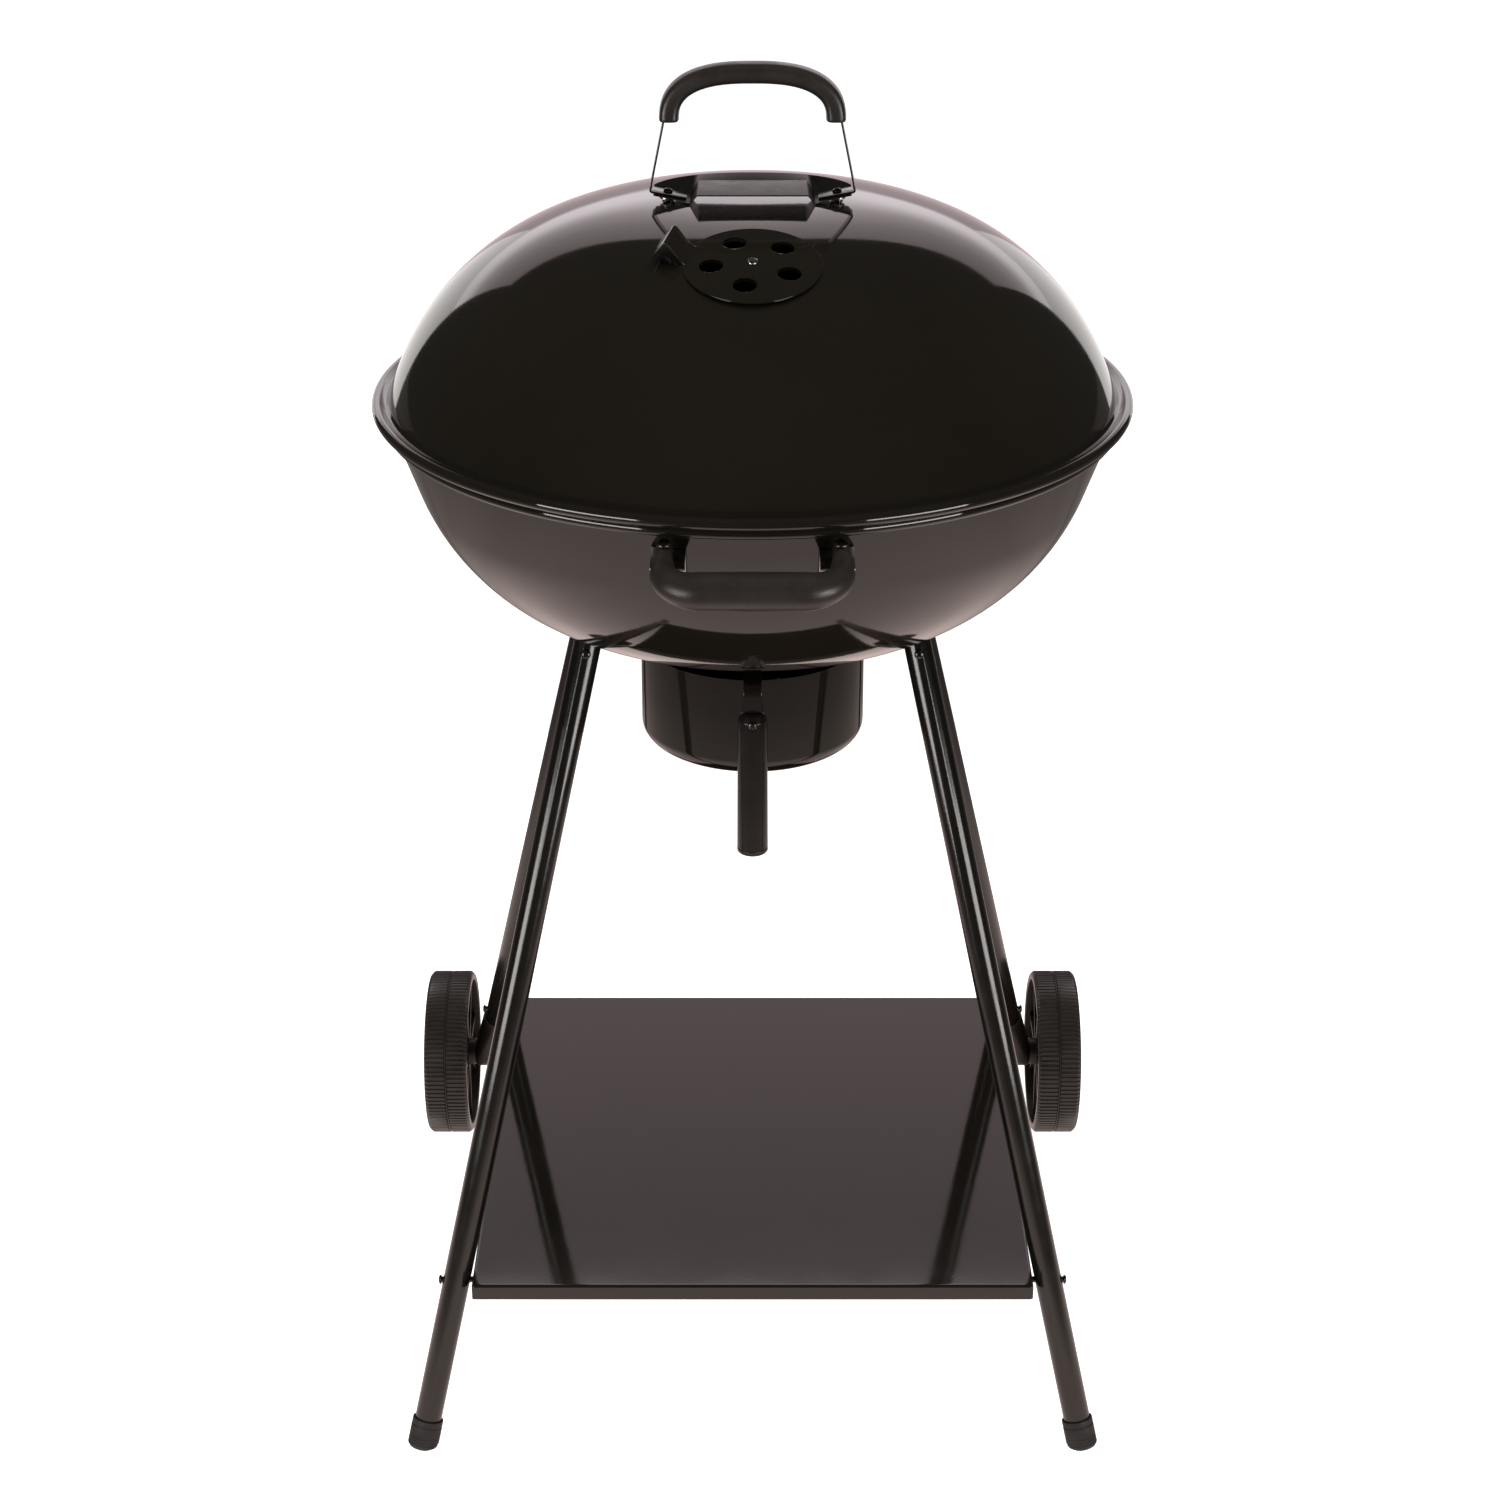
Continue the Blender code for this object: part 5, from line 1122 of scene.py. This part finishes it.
def make_ash_catcher():
    rim_z = bowl_height(CATCHER_R) - 0.0008
    corner = (CATCHER_R - CATCHER_CORNER, CATCHER_FOOT_Z + CATCHER_CORNER)
    panel_r = 0.0620
    raised = 0.0018
    floor = [(panel_r + 0.0040, CATCHER_FOOT_Z, 0.0020), (panel_r, CATCHER_FOOT_Z + raised, 0.0020)]
    inner_floor = [(r, z + CATCHER_SHEET, radius) for r, z, radius in reversed(floor)]
    outside = [(CATCHER_R, rim_z, 0.0003)] + arc(corner, CATCHER_CORNER, 0.0, -90.0, 14) + floor
    outside += [(0.0, CATCHER_FOOT_Z + raised)]
    inside = [(0.0, CATCHER_FOOT_Z + raised + CATCHER_SHEET)] + inner_floor
    inside += arc(corner, CATCHER_CORNER - CATCHER_SHEET, -90.0, 0.0, 14)
    inside += [(CATCHER_R - CATCHER_SHEET, rim_z)]
    catcher = lathed("catcher", filleted(outside + inside), 128, True)
    angle = math.degrees(NOTCH_HALF_ANGLE)
    outline = arc((0.0, 0.0), CATCHER_R + 0.010, -90.0 - angle, -90.0 + angle, 25)
    outline += arc((0.0, 0.0), CATCHER_R - 0.010, -90.0 + angle, -90.0 - angle, 25)
    notch_z = LEVER_Z - LEVER_SHEET / 2 - 0.0022
    cut(catcher, prism("notch", outline, notch_z, rim_z + 0.010))
    settle(catcher, "ash_catcher", "enamel")

    clip_sheet = 0.0008
    leaf_r = CATCHER_R + GAP + clip_sheet / 2
    crown_gap = GAP + clip_sheet / 2
    flat = [(leaf_r + 0.0030, rim_z - 0.0320), (leaf_r, rim_z - 0.0270, 0.0020),
            (leaf_r, rim_z - 0.0015, 0.0010)]
    flat += [(r, bowl_height(r) - crown_gap) for r in (leaf_r + 0.0020, leaf_r + 0.0065, leaf_r + 0.0110,
                                                       leaf_r + 0.0155, leaf_r + 0.0200)]
    path = [(x, 0.0, z) for x, z in filleted(flat)]
    for turn, label in ((180.0, "left"), (0.0, "right")):
        rings = swept_rings(path, rectangle(clip_sheet, 0.0140, 0.0003), (0, 1, 0))
        settle(lofted("clip", rings, spin(turn)), "ash_catcher_clip_" + label, "zinc_steel")


# ---------------------------------------------------------------- stand
def leg_matrix(side, end):
    """Frame at a leg's top: Z up along the leg, Y outwards to the front (end -1) or the back (1)."""
    top = Vector((side * LEG_TOP[0], end * LEG_TOP[1], LEG_TOP[2]))
    foot = Vector((side * LEG_FOOT[0], end * LEG_FOOT[1], 0.0))
    up = (top - foot).normalized()
    out = (Vector((0.0, float(end), 0.0)) - up * up.y * end).normalized()
    return frame_at(top, up, out.cross(up))


def leg_point(side, end, height):
    """The point of a leg's centre line at a height."""
    share = height / LEG_TOP[2]
    x = LEG_FOOT[0] + (LEG_TOP[0] - LEG_FOOT[0]) * share
    y = LEG_FOOT[1] + (LEG_TOP[1] - LEG_FOOT[1]) * share
    return Vector((side * x, end * y, height))


def meet_bowl(point, direction, gap):
    """Follow a direction from a point until it is a gap below the bowl's outer surface."""
    near, far = 0.0, 0.060
    for _ in range(40):
        middle = (near + far) / 2
        spot = point + direction * middle
        if spot.z < bowl_height(math.hypot(spot.x, spot.y)) - gap:
            near = middle
        else:
            far = middle
    return point + direction * near


def make_leg_bracket(node, matrix):
    """A tongue behind the leg's top, welded to a pad that follows the bowl."""
    rotation = matrix.to_3x3()
    up = rotation @ Vector((0.0, 0.0, 1.0))
    pad = 0.0020
    back = -(TUBE_R + GAP)
    half = 0.0105
    outline = [(-half, back - BRACKET_PLATE), (half, back - BRACKET_PLATE), (half, back), (-half, back)]
    low = [matrix @ Vector((x, y, -0.0280)) for x, y in outline]
    high = [meet_bowl(matrix @ Vector((x, y, -0.0050)), up, GAP + 0.4 * pad) for x, y in outline]
    tongue = lofted("tongue", [low, high])
    along = rotation @ Vector((1.0, 0.0, 0.0))
    out = rotation @ Vector((0.0, 1.0, 0.0))
    centre = matrix @ Vector((0.0, back, 0.0))
    rings = []
    for i in range(13):
        u = -0.0150 + 0.0300 * i / 12
        upper = []
        lower = []
        for k in range(14):
            v = -0.0200 + 0.0390 * k / 13
            spot = centre + along * u + out * v
            height = bowl_height(math.hypot(spot.x, spot.y)) - GAP
            upper.append(Vector((spot.x, spot.y, height)))
            lower.append(Vector((spot.x, spot.y, height - pad)))
        rings.append(upper + lower[::-1])
    weld(tongue, lofted("pad", rings))
    spot = matrix @ Vector((0.0, 0.0, -LEG_BOLT_DROP))
    cut(tongue, drills([(spot, out)], SCREW_HOLE_R, 0.050))
    settle(tongue, node, "painted_tube", bevel=0.0003)


def make_legs():
    labels = {(-1, -1): "front_left", (1, -1): "front_right", (-1, 1): "rear_left", (1, 1): "rear_right"}
    axle_z = node_box("axle_rod")[0].z + AXLE_R
    front_length = (leg_point(1, -1, LEG_TOP[2]) - leg_point(1, -1, 0.0)).length - CAP_DEPTH
    rear_length = (leg_point(1, 1, LEG_TOP[2]) - leg_point(1, 1, axle_z)).length - LUG_DEPTH
    shelf_high = node_box("bottom_shelf")[1]
    bolt_z = shelf_high.z - SHELF_SKIRT / 2
    rim = 0.0003
    for (side, end), label in labels.items():
        matrix = leg_matrix(side, end)
        length = front_length if end < 0 else rear_length
        inner = TUBE_R - TUBE_WALL
        corners = [(TUBE_R, 0.0), (TUBE_R, -length), (inner, -length), (inner, 0.0)]
        outline = filleted([(*corner, rim) for corner in corners], True, 3)
        leg = lathed("leg", outline, 56, True, matrix)
        make_leg_bracket("leg_bracket_" + label, matrix)
        out = matrix.to_3x3() @ Vector((0.0, 1.0, 0.0))
        spot = matrix @ Vector((0.0, 0.0, -LEG_BOLT_DROP))
        crossing = leg_point(side, end, bolt_z)
        sideways = Vector((float(side), 0.0, 0.0))
        cut(leg, drills([(spot, out), (crossing, sideways)], SCREW_HOLE_R, 0.045))
        settle(leg, "leg_" + label, "painted_tube")
        clamp = 2 * TUBE_R + BRACKET_PLATE + 4 * GAP
        head = frame_at(spot + out * (TUBE_R + GAP), out, (0, 0, 1))
        screw("leg_bolt_" + label, head, clamp, LEG_BOLT_HEAD_R, SHANK_R)
        seat = crossing + sideways * (TUBE_R + 0.0015)
        shelf_clamp = seat.x * side - shelf_high.x + SHELF_SHEET + GAP
        head = frame_at(seat, sideways, (0, 0, 1))
        screw("shelf_bolt_" + label, head, shelf_clamp, LEG_BOLT_HEAD_R, SHANK_R)


def make_feet():
    """Rubber caps on the front legs with a moulded collar and grip rings, worn flat where they stand."""
    length = (leg_point(1, -1, LEG_TOP[2]) - leg_point(1, -1, 0.0)).length
    floor = -length - 0.0030
    inner = TUBE_R + GAP
    bore_end = -length + CAP_DEPTH - GAP
    top = floor + FOOT_CAP_LENGTH
    for side, label in ((-1, "left"), (1, "right")):
        outline = [(0.0, bore_end), (inner, bore_end), (inner, top), (FOOT_CAP_R - 0.0001, top, 0.0006),
                   (FOOT_CAP_R, top - 0.0040, 0.0004), (FOOT_CAP_R - 0.0006, top - 0.0046, 0.0003),
                   (FOOT_CAP_R - 0.0006, top - 0.0054, 0.0003), (FOOT_CAP_R, top - 0.0060, 0.0004)]
        for ring in range(3):
            height = floor + 0.0110 - 0.0026 * ring
            outline += [(FOOT_CAP_R, height, 0.0002), (FOOT_CAP_R - 0.0004, height - 0.0004, 0.0002),
                        (FOOT_CAP_R - 0.0004, height - 0.0009, 0.0002), (FOOT_CAP_R, height - 0.0013, 0.0002)]
        outline += [(FOOT_CAP_R, floor + 0.0030, 0.0016), (FOOT_CAP_R - 0.0020, floor + 0.0004, 0.0012),
                    (0.0, floor)]
        cap = lathed("cap", filleted(outline, steps=3), 56, matrix=leg_matrix(side, -1))
        corner = 0.1
        square = [(-corner, -corner), (corner, -corner), (corner, corner), (-corner, corner)]
        ground = Matrix.Translation((side * LEG_FOOT[0], -LEG_FOOT[1], 0.0))
        cut(cap, prism("ground", square, -0.05, 0.0, ground))
        settle(cap, "foot_cap_" + label, "rubber")


def make_shelf():
    """Sheet pan: a flat top with folded skirts, each with a turned-in hem, running round small rounded
    corners.
    """
    low, high = node_box("bottom_shelf")
    fold = 0.0018
    hem = 0.0045
    skirt = high.z - low.z
    radius = 0.0020

    def ring(inwards, height):
        half_x = high.x - inwards
        ends = (low.y + inwards, high.y - inwards)
        flat = [(half_x, y, radius) for y in ends] + [(-half_x, y, radius) for y in reversed(ends)]
        return [Vector((x, y, high.z + height)) for x, y in filleted(flat, True, 4)]

    steps = 5
    outer = [(2.0 * fold, 0.0), (1.2 * fold, 0.0)]
    for step in range(1, steps + 1):
        angle = 0.5 * math.pi * step / steps
        outer.append((fold * (1 - math.sin(angle)), fold * (math.cos(angle) - 1.0)))
    outer += [(0.0, -skirt + 0.0005), (0.0003, -skirt), (0.0017, -skirt)]
    outer += [(0.0020, -skirt + 0.0004), (0.0020, -skirt + hem), (SHELF_SHEET, -skirt + hem)]
    inner = []
    reach = fold - SHELF_SHEET
    for step in range(steps + 1):
        angle = 0.5 * math.pi * (1 - step / steps)
        inner.append((SHELF_SHEET + reach * (1 - math.sin(angle)), -fold + reach * math.cos(angle)))
    shelf = lofted("shelf", [ring(*station) for station in outer + inner])
    bolt_z = high.z - SHELF_SKIRT / 2
    corners = [(side, end) for side in (-1, 1) for end in (-1, 1)]
    holes = [((side * high.x, leg_point(side, end, bolt_z).y, bolt_z), (1, 0, 0)) for side, end in corners]
    cut(shelf, drills(holes, SCREW_HOLE_R, 0.010))
    settle(shelf, "bottom_shelf", "enamel", crease=25.0)


def make_axle_lug(side, label, axle):
    """Moulded end fitting: a socket for the rear leg that swells into a boss for the axle."""
    matrix = leg_matrix(side, 1)
    length = (leg_point(1, 1, LEG_TOP[2]) - leg_point(1, 1, axle.z)).length
    top = -length + 0.0480
    collar_r = TUBE_R + 0.0018
    low_x = leg_point(1, 1, axle.z).x - TUBE_R - 0.0022
    high_x = node_box("axle_lug_right")[1].x
    shape = bmesh.new()
    for x, y in ellipse(collar_r, collar_r, 56):
        shape.verts.new(matrix @ Vector((x, y, top - 0.0050)))
    for share, radius in ((0.0, 0.90), (0.03, 0.97), (0.08, 1.0), (0.92, 1.0), (0.97, 0.97), (1.0, 0.90)):
        for y, z in ellipse(LUG_R * radius, LUG_R * radius, 56):
            shape.verts.new((side * (low_x + (high_x - low_x) * share), axle.y + y, axle.z + z))
    bmesh.ops.convex_hull(shape, input=shape.verts)
    bmesh.ops.delete(shape, geom=[vert for vert in shape.verts if not vert.link_faces], context="VERTS")
    lug = to_object("lug", shape)
    outline = filleted([(0.0, top), (collar_r, top, 0.0006), (collar_r, top - 0.0055, 0.0003),
                        (collar_r - 0.0008, top - 0.0060), (collar_r - 0.0008, top - 0.0120),
                        (0.0, top - 0.0120)])
    weld(lug, lathed("collar", outline, 56, matrix=matrix))
    bore = [(TUBE_R + GAP, -length + 0.100), (TUBE_R + GAP, -length + LUG_DEPTH - GAP)]
    cut(lug, lathed("socket", [(0.0, bore[0][1]), *bore, (0.0, bore[1][1])], 56, matrix=matrix))
    cut(lug, drills([((side * low_x, axle.y, axle.z), (1, 0, 0))], AXLE_R + 0.0005, 0.10))
    settle(lug, "axle_lug_" + label, "matte_plastic", crease=30.0)


def make_wheel(side, label, axle):
    """Moulded wheel: two rows of tread blocks, a web, eight ribs on each side and a long hub."""
    low, high = node_box("wheel_" + label)
    face = min(abs(low.x), abs(high.x))
    inner_x = node_box("axle_lug_right")[1].x + 0.0030
    width = max(abs(low.x), abs(high.x)) - inner_x
    radius = (high.z - low.z) / 2
    matrix = frame_at((side * inner_x, axle.y, axle.z), (float(side), 0.0, 0.0), (0, 0, -1))
    rim_r = radius - 0.0080
    web_low, web_high = 0.0175, 0.0205
    hub_low, hub_high = -(inner_x - face), width - 0.0055
    blocks = 110
    samples = 6
    depth = 0.0011
    middle = width / 2
    split = 0.0009
    chamfer = 0.0030
    tread = [(radius - chamfer, 0.0, 0.0), (radius - 0.6 * chamfer, 0.0009, 0.0), (radius, chamfer, 1.0),
             (radius, middle - split - 0.0004, 1.0), (radius - depth, middle - split, 0.0),
             (radius - 0.0003, middle - 0.4 * split, 0.0), (radius - 0.0003, middle + 0.4 * split, 0.0),
             (radius - depth, middle + split, 0.0), (radius, middle + split + 0.0004, 1.0),
             (radius, width - chamfer, 1.0), (radius - 0.6 * chamfer, width - 0.0009, 0.9),
             (radius - chamfer, width, 0.0)]
    inside = [(rim_r + 0.0008, width, 0.0), (rim_r, width - 0.0008, 0.0), (rim_r - 0.0003, middle, 0.0),
              (rim_r, 0.0008, 0.0), (rim_r + 0.0008, 0.0, 0.0)]
    profile = tread + inside

    def blocks_at(angle, index):
        step = round(angle / (2 * math.pi) * blocks * samples)
        shift = 3 if profile[index][1] > middle else 0
        return -depth * profile[index][2] if (step + shift) % samples < 2 else 0.0

    wheel = lathed("tyre", [(r, z) for r, z, _ in profile], blocks * samples, True, matrix, blocks_at)
    fillet = 0.0015
    bore = AXLE_R + 0.0005
    outline = [(rim_r + 0.0004, web_low), (HUB_R, web_low, fillet), (HUB_R - 0.0004, hub_low, 0.0006),
               (bore, hub_low), (bore, hub_high), (HUB_R - 0.0004, hub_high, 0.0006),
               (HUB_R, web_high, fillet), (rim_r + 0.0004, web_high)]
    centre = lathed("web", filleted(outline, True), 96, True, matrix)
    ribs = bmesh.new()
    thick = 0.0013
    for index in range(8):
        turn = spin(360.0 * index / 8)
        for near, far_hub, far_rim in ((web_high - 0.0003, hub_high - 0.0030, width - 0.0045),
                                       (web_low + 0.0003, 0.0040, 0.0045)):
            rings = []
            for reach, far in ((HUB_R - 0.0008, far_hub), (rim_r + 0.0004, far_rim)):
                corners = [(-thick, near), (thick, near), (0.75 * thick, far), (-0.75 * thick, far)]
                rings.append([turn @ Vector((reach, y, z)) for y, z in corners])
            add_loft(ribs, rings)
    join(wheel, centre, to_object("ribs", ribs, matrix))
    settle(wheel, "wheel_" + label, "matte_plastic")


def make_axle():
    low, high = node_box("axle_rod")
    axle = (low + high) / 2
    tip = 0.0006
    outline = filleted([(0.0, high.x), (AXLE_R, high.x, tip), (AXLE_R, low.x, tip), (0.0, low.x)])
    rod = lathed("axle", outline, 40, matrix=frame_at((0.0, axle.y, axle.z), (1, 0, 0), (0, 0, -1)))
    settle(rod, "axle_rod", "zinc_steel")
    for side, label in ((-1, "left"), (1, "right")):
        make_axle_lug(side, label, axle)
        make_wheel(side, label, axle)
        cap_low, cap_high = node_box("axle_cap_" + label)
        seat_x = min(abs(cap_low.x), abs(cap_high.x))
        outline = filleted([(0.0, 0.0046), (0.0050, 0.0042, 0.004), (0.0088, 0.0022, 0.002),
                            (0.0092, 0.0, 0.0004),
                            (AXLE_R + GAP, 0.0), (AXLE_R + GAP, 0.0024), (0.0, 0.0024)])
        seat = frame_at((side * seat_x, axle.y, axle.z), (side, 0, 0), (0, 0, -1))
        cap = lathed("axle_cap", outline, 48, matrix=seat)
        settle(cap, "axle_cap_" + label, "zinc_steel")


# ---------------------------------------------------------------- studio
CAMERA_DISTANCE = 2.1415    # in front of the kettle's axis
CAMERA_Z = 1.5134
CAMERA_TILT = math.radians(64.65)
CAMERA_LENS = 70.1
FLOOR_REACH = 14.0
FLOOR_WHITE = 0.97          # glow of the floor where it is looked at directly
WORLD_DIM = 0.03            # what reflections see of the world
OVERHEAD_SIZE = 3.4
OVERHEAD_POWER = 95.0
CARD_TINT = (1.0, 0.96, 0.94, 1.0)
BACKDROP_Y = 1.10

# What the floor shows to reflections, as painted light: a pool of light dimming with distance, with painted
# shade under the grill at the middle. Distance from the middle, red, green, blue.
FLOOR_PAINTED_LIGHT = ((0.00, 0.90, 0.73, 0.68), (0.45, 1.20, 0.97, 0.91), (0.65, 1.25, 1.01, 0.95),
              (0.80, 1.00, 0.81, 0.76), (0.95, 0.66, 0.54, 0.50), (1.25, 0.34, 0.28, 0.26),
              (1.70, 0.15, 0.12, 0.12), (3.20, 0.10, 0.09, 0.09))
# What the backdrop shows: height, red, green, blue. Dim and warm below, bright at the lid's height.
BACKDROP_GLOW = ((0.00, 0.20, 0.17, 0.16), (0.40, 0.26, 0.22, 0.21), (0.56, 0.86, 0.68, 0.71),
                 (0.66, 0.92, 0.73, 0.76), (1.00, 0.74, 0.60, 0.62), (1.085, 0.80, 0.66, 0.70),
                 (1.12, 2.00, 1.82, 1.88), (1.20, 2.10, 1.92, 1.97), (1.31, 1.20, 1.05, 1.06),
                 (1.44, 0.88, 0.76, 0.77), (1.64, 0.76, 0.64, 0.65))
BACKDROP_TOP = BACKDROP_GLOW[-1][0]
# Glowing cards, hidden from the camera: name, centre, direction, width, height, strength.
CARDS = (("left_box", (-1.50, -1.50, 0.74), (1.5, 1.5, 0.0), 1.10, 0.66, 10.0),
         ("right_box", (1.50, -1.50, 0.74), (-1.5, 1.5, 0.0), 1.10, 0.66, 10.0),
         ("left_wing", (-0.725, 1.09, 0.80), (0.0, -1.0, 0.0), 0.55, 0.60, 1.35),
         ("right_wing", (0.725, 1.09, 0.80), (0.0, -1.0, 0.0), 0.55, 0.60, 1.35),
         ("backdrop", (0.0, BACKDROP_Y, BACKDROP_TOP / 2), (0.0, -1.0, 0.0), 2.0, BACKDROP_TOP, 1.0))


def clear_tree(owner):
    """The emptied node tree of a new material or world."""
    owner.use_nodes = True
    owner.node_tree.nodes.clear()
    return owner.node_tree


def glow_ramp(tree, source, stops):
    """An emission whose colour follows stops of (distance, red, green, blue) along a source value."""
    reach = stops[-1][0]
    share = add_node(tree, "Math", {0: source, 1: reach}, operation="DIVIDE").outputs["Value"]
    falloff = add_node(tree, "ValToRGB", {"Fac": share})
    ramp = falloff.color_ramp
    for distance, *_ in stops[1:-1]:
        ramp.elements.new(distance / reach)
    for element, (_, red, green, blue) in zip(ramp.elements, stops):
        element.color = (red, green, blue, 1.0)
    return add_node(tree, "Emission", {"Color": falloff.outputs["Color"]}).outputs["Emission"]


def camera_or_not(tree, output, seen, mirrored):
    """Show one shader to the camera and another to reflections and light."""
    camera_ray = add_node(tree, "LightPath").outputs["Is Camera Ray"]
    mix = add_node(tree, "MixShader", {"Fac": camera_ray, 1: mirrored, 2: seen})
    add_node(tree, output, {"Surface": mix.outputs["Shader"]})


def make_card(name, centre, facing, width, height, strength):
    """A glowing rectangle that lights the object and shows only in its reflections."""
    shape = bmesh.new()
    across, up = width / 2, height / 2
    corners = [(-across, -up), (across, -up), (across, up), (-across, up)]
    shape.faces.new([shape.verts.new((x, y, 0.0)) for x, y in corners])
    panel = placed(name, to_mesh(name, shape))
    panel.matrix_world = KETTLE @ frame_at(centre, facing, (1.0, 0.0, 0.0))
    panel.visible_camera = False
    material = bpy.data.materials.new(name)
    tree = clear_tree(material)
    if name == "backdrop":
        place = add_node(tree, "NewGeometry").outputs["Position"]
        rise = add_node(tree, "SeparateXYZ", {0: place}).outputs["Z"]
        glow = glow_ramp(tree, rise, BACKDROP_GLOW)
    else:
        glow = add_node(tree, "Emission", {"Color": CARD_TINT, "Strength": strength}).outputs["Emission"]
    add_node(tree, "OutputMaterial", {"Surface": glow})
    panel.data.materials.append(material)


def make_floor():
    """Pale floor: plain white to the camera; in reflections a painted pool of light that dims with distance,
    with painted shade under the grill at the middle.
    """
    shape = bmesh.new()
    bmesh.ops.create_circle(shape, cap_ends=True, segments=96, radius=FLOOR_REACH)
    floor = placed("studio_floor", to_mesh("studio_floor", shape))
    floor.location.z = CAD_LOW.z - 0.0002
    material = bpy.data.materials.new("white_floor")
    tree = clear_tree(material)
    place = add_node(tree, "NewGeometry").outputs["Position"]
    reach = add_node(tree, "VectorMath", {0: place}, operation="LENGTH").outputs["Value"]
    pale = {"Base Color": (0.86, 0.86, 0.86, 1.0), "Roughness": 0.9, "Specular IOR Level": 0.0,
            "Emission Color": (1.0, 1.0, 1.0, 1.0), "Emission Strength": FLOOR_WHITE}
    seen = add_node(tree, "BsdfPrincipled", pale).outputs["BSDF"]
    # reflections see the painted pool of light and painted shade of the ramp, not a lit floor
    camera_or_not(tree, "OutputMaterial", seen, glow_ramp(tree, reach, FLOOR_PAINTED_LIGHT))
    floor.data.materials.append(material)


def make_world():
    """White for the camera, dim for reflections and light."""
    world = bpy.data.worlds.new("studio")
    bpy.context.scene.world = world
    tree = clear_tree(world)
    seen = add_node(tree, "Background", {"Color": (1.0, 1.0, 1.0, 1.0)}).outputs["Background"]
    dim = add_node(tree, "Background", {"Color": (1.0, 0.98, 0.96, 1.0), "Strength": WORLD_DIM})
    camera_or_not(tree, "OutputWorld", seen, dim.outputs["Background"])


def make_overhead():
    """Soft top light for the floor and the dull parts, which polished surfaces don't mirror."""
    data = bpy.data.lights.new("overhead", "AREA")
    data.size = OVERHEAD_SIZE
    data.energy = OVERHEAD_POWER
    light = placed("overhead", data)
    light.location = (0.0, -0.2, OVERHEAD_SIZE)
    light.visible_glossy = False
    light.visible_camera = False


def make_camera():
    data = bpy.data.cameras.new("photo_camera")
    data.sensor_width = 36.0
    data.lens = CAMERA_LENS
    data.shift_x = -0.0017
    data.clip_end = 60.0
    camera = placed("photo_camera", data)
    camera.location = (0.0, AXIS_Y - CAMERA_DISTANCE, CAMERA_Z)
    camera.rotation_euler = (CAMERA_TILT, 0.0, 0.0)
    bpy.context.scene.camera = camera


# ---------------------------------------------------------------- the grill
make_camera()
make_lid()
make_vent()
make_lid_handle()
make_bowl()
make_grate("cooking_grate", COOK_GRATE_R, COOK_GRATE_Z, COOK_GRATE_RODS)
make_grate("charcoal_grate", node_box("charcoal_grate")[1].x - RING_WIRE, COAL_GRATE_Z, COAL_GRATE_RODS)
make_grate_supports()
make_bowl_handle()
make_sweeper()
make_lever()
make_ash_catcher()
make_legs()
make_feet()
make_shelf()
make_axle()

make_floor()
make_world()
make_overhead()
for row in CARDS:
    make_card(*row)
bpy.context.scene.view_settings.view_transform = "Standard"
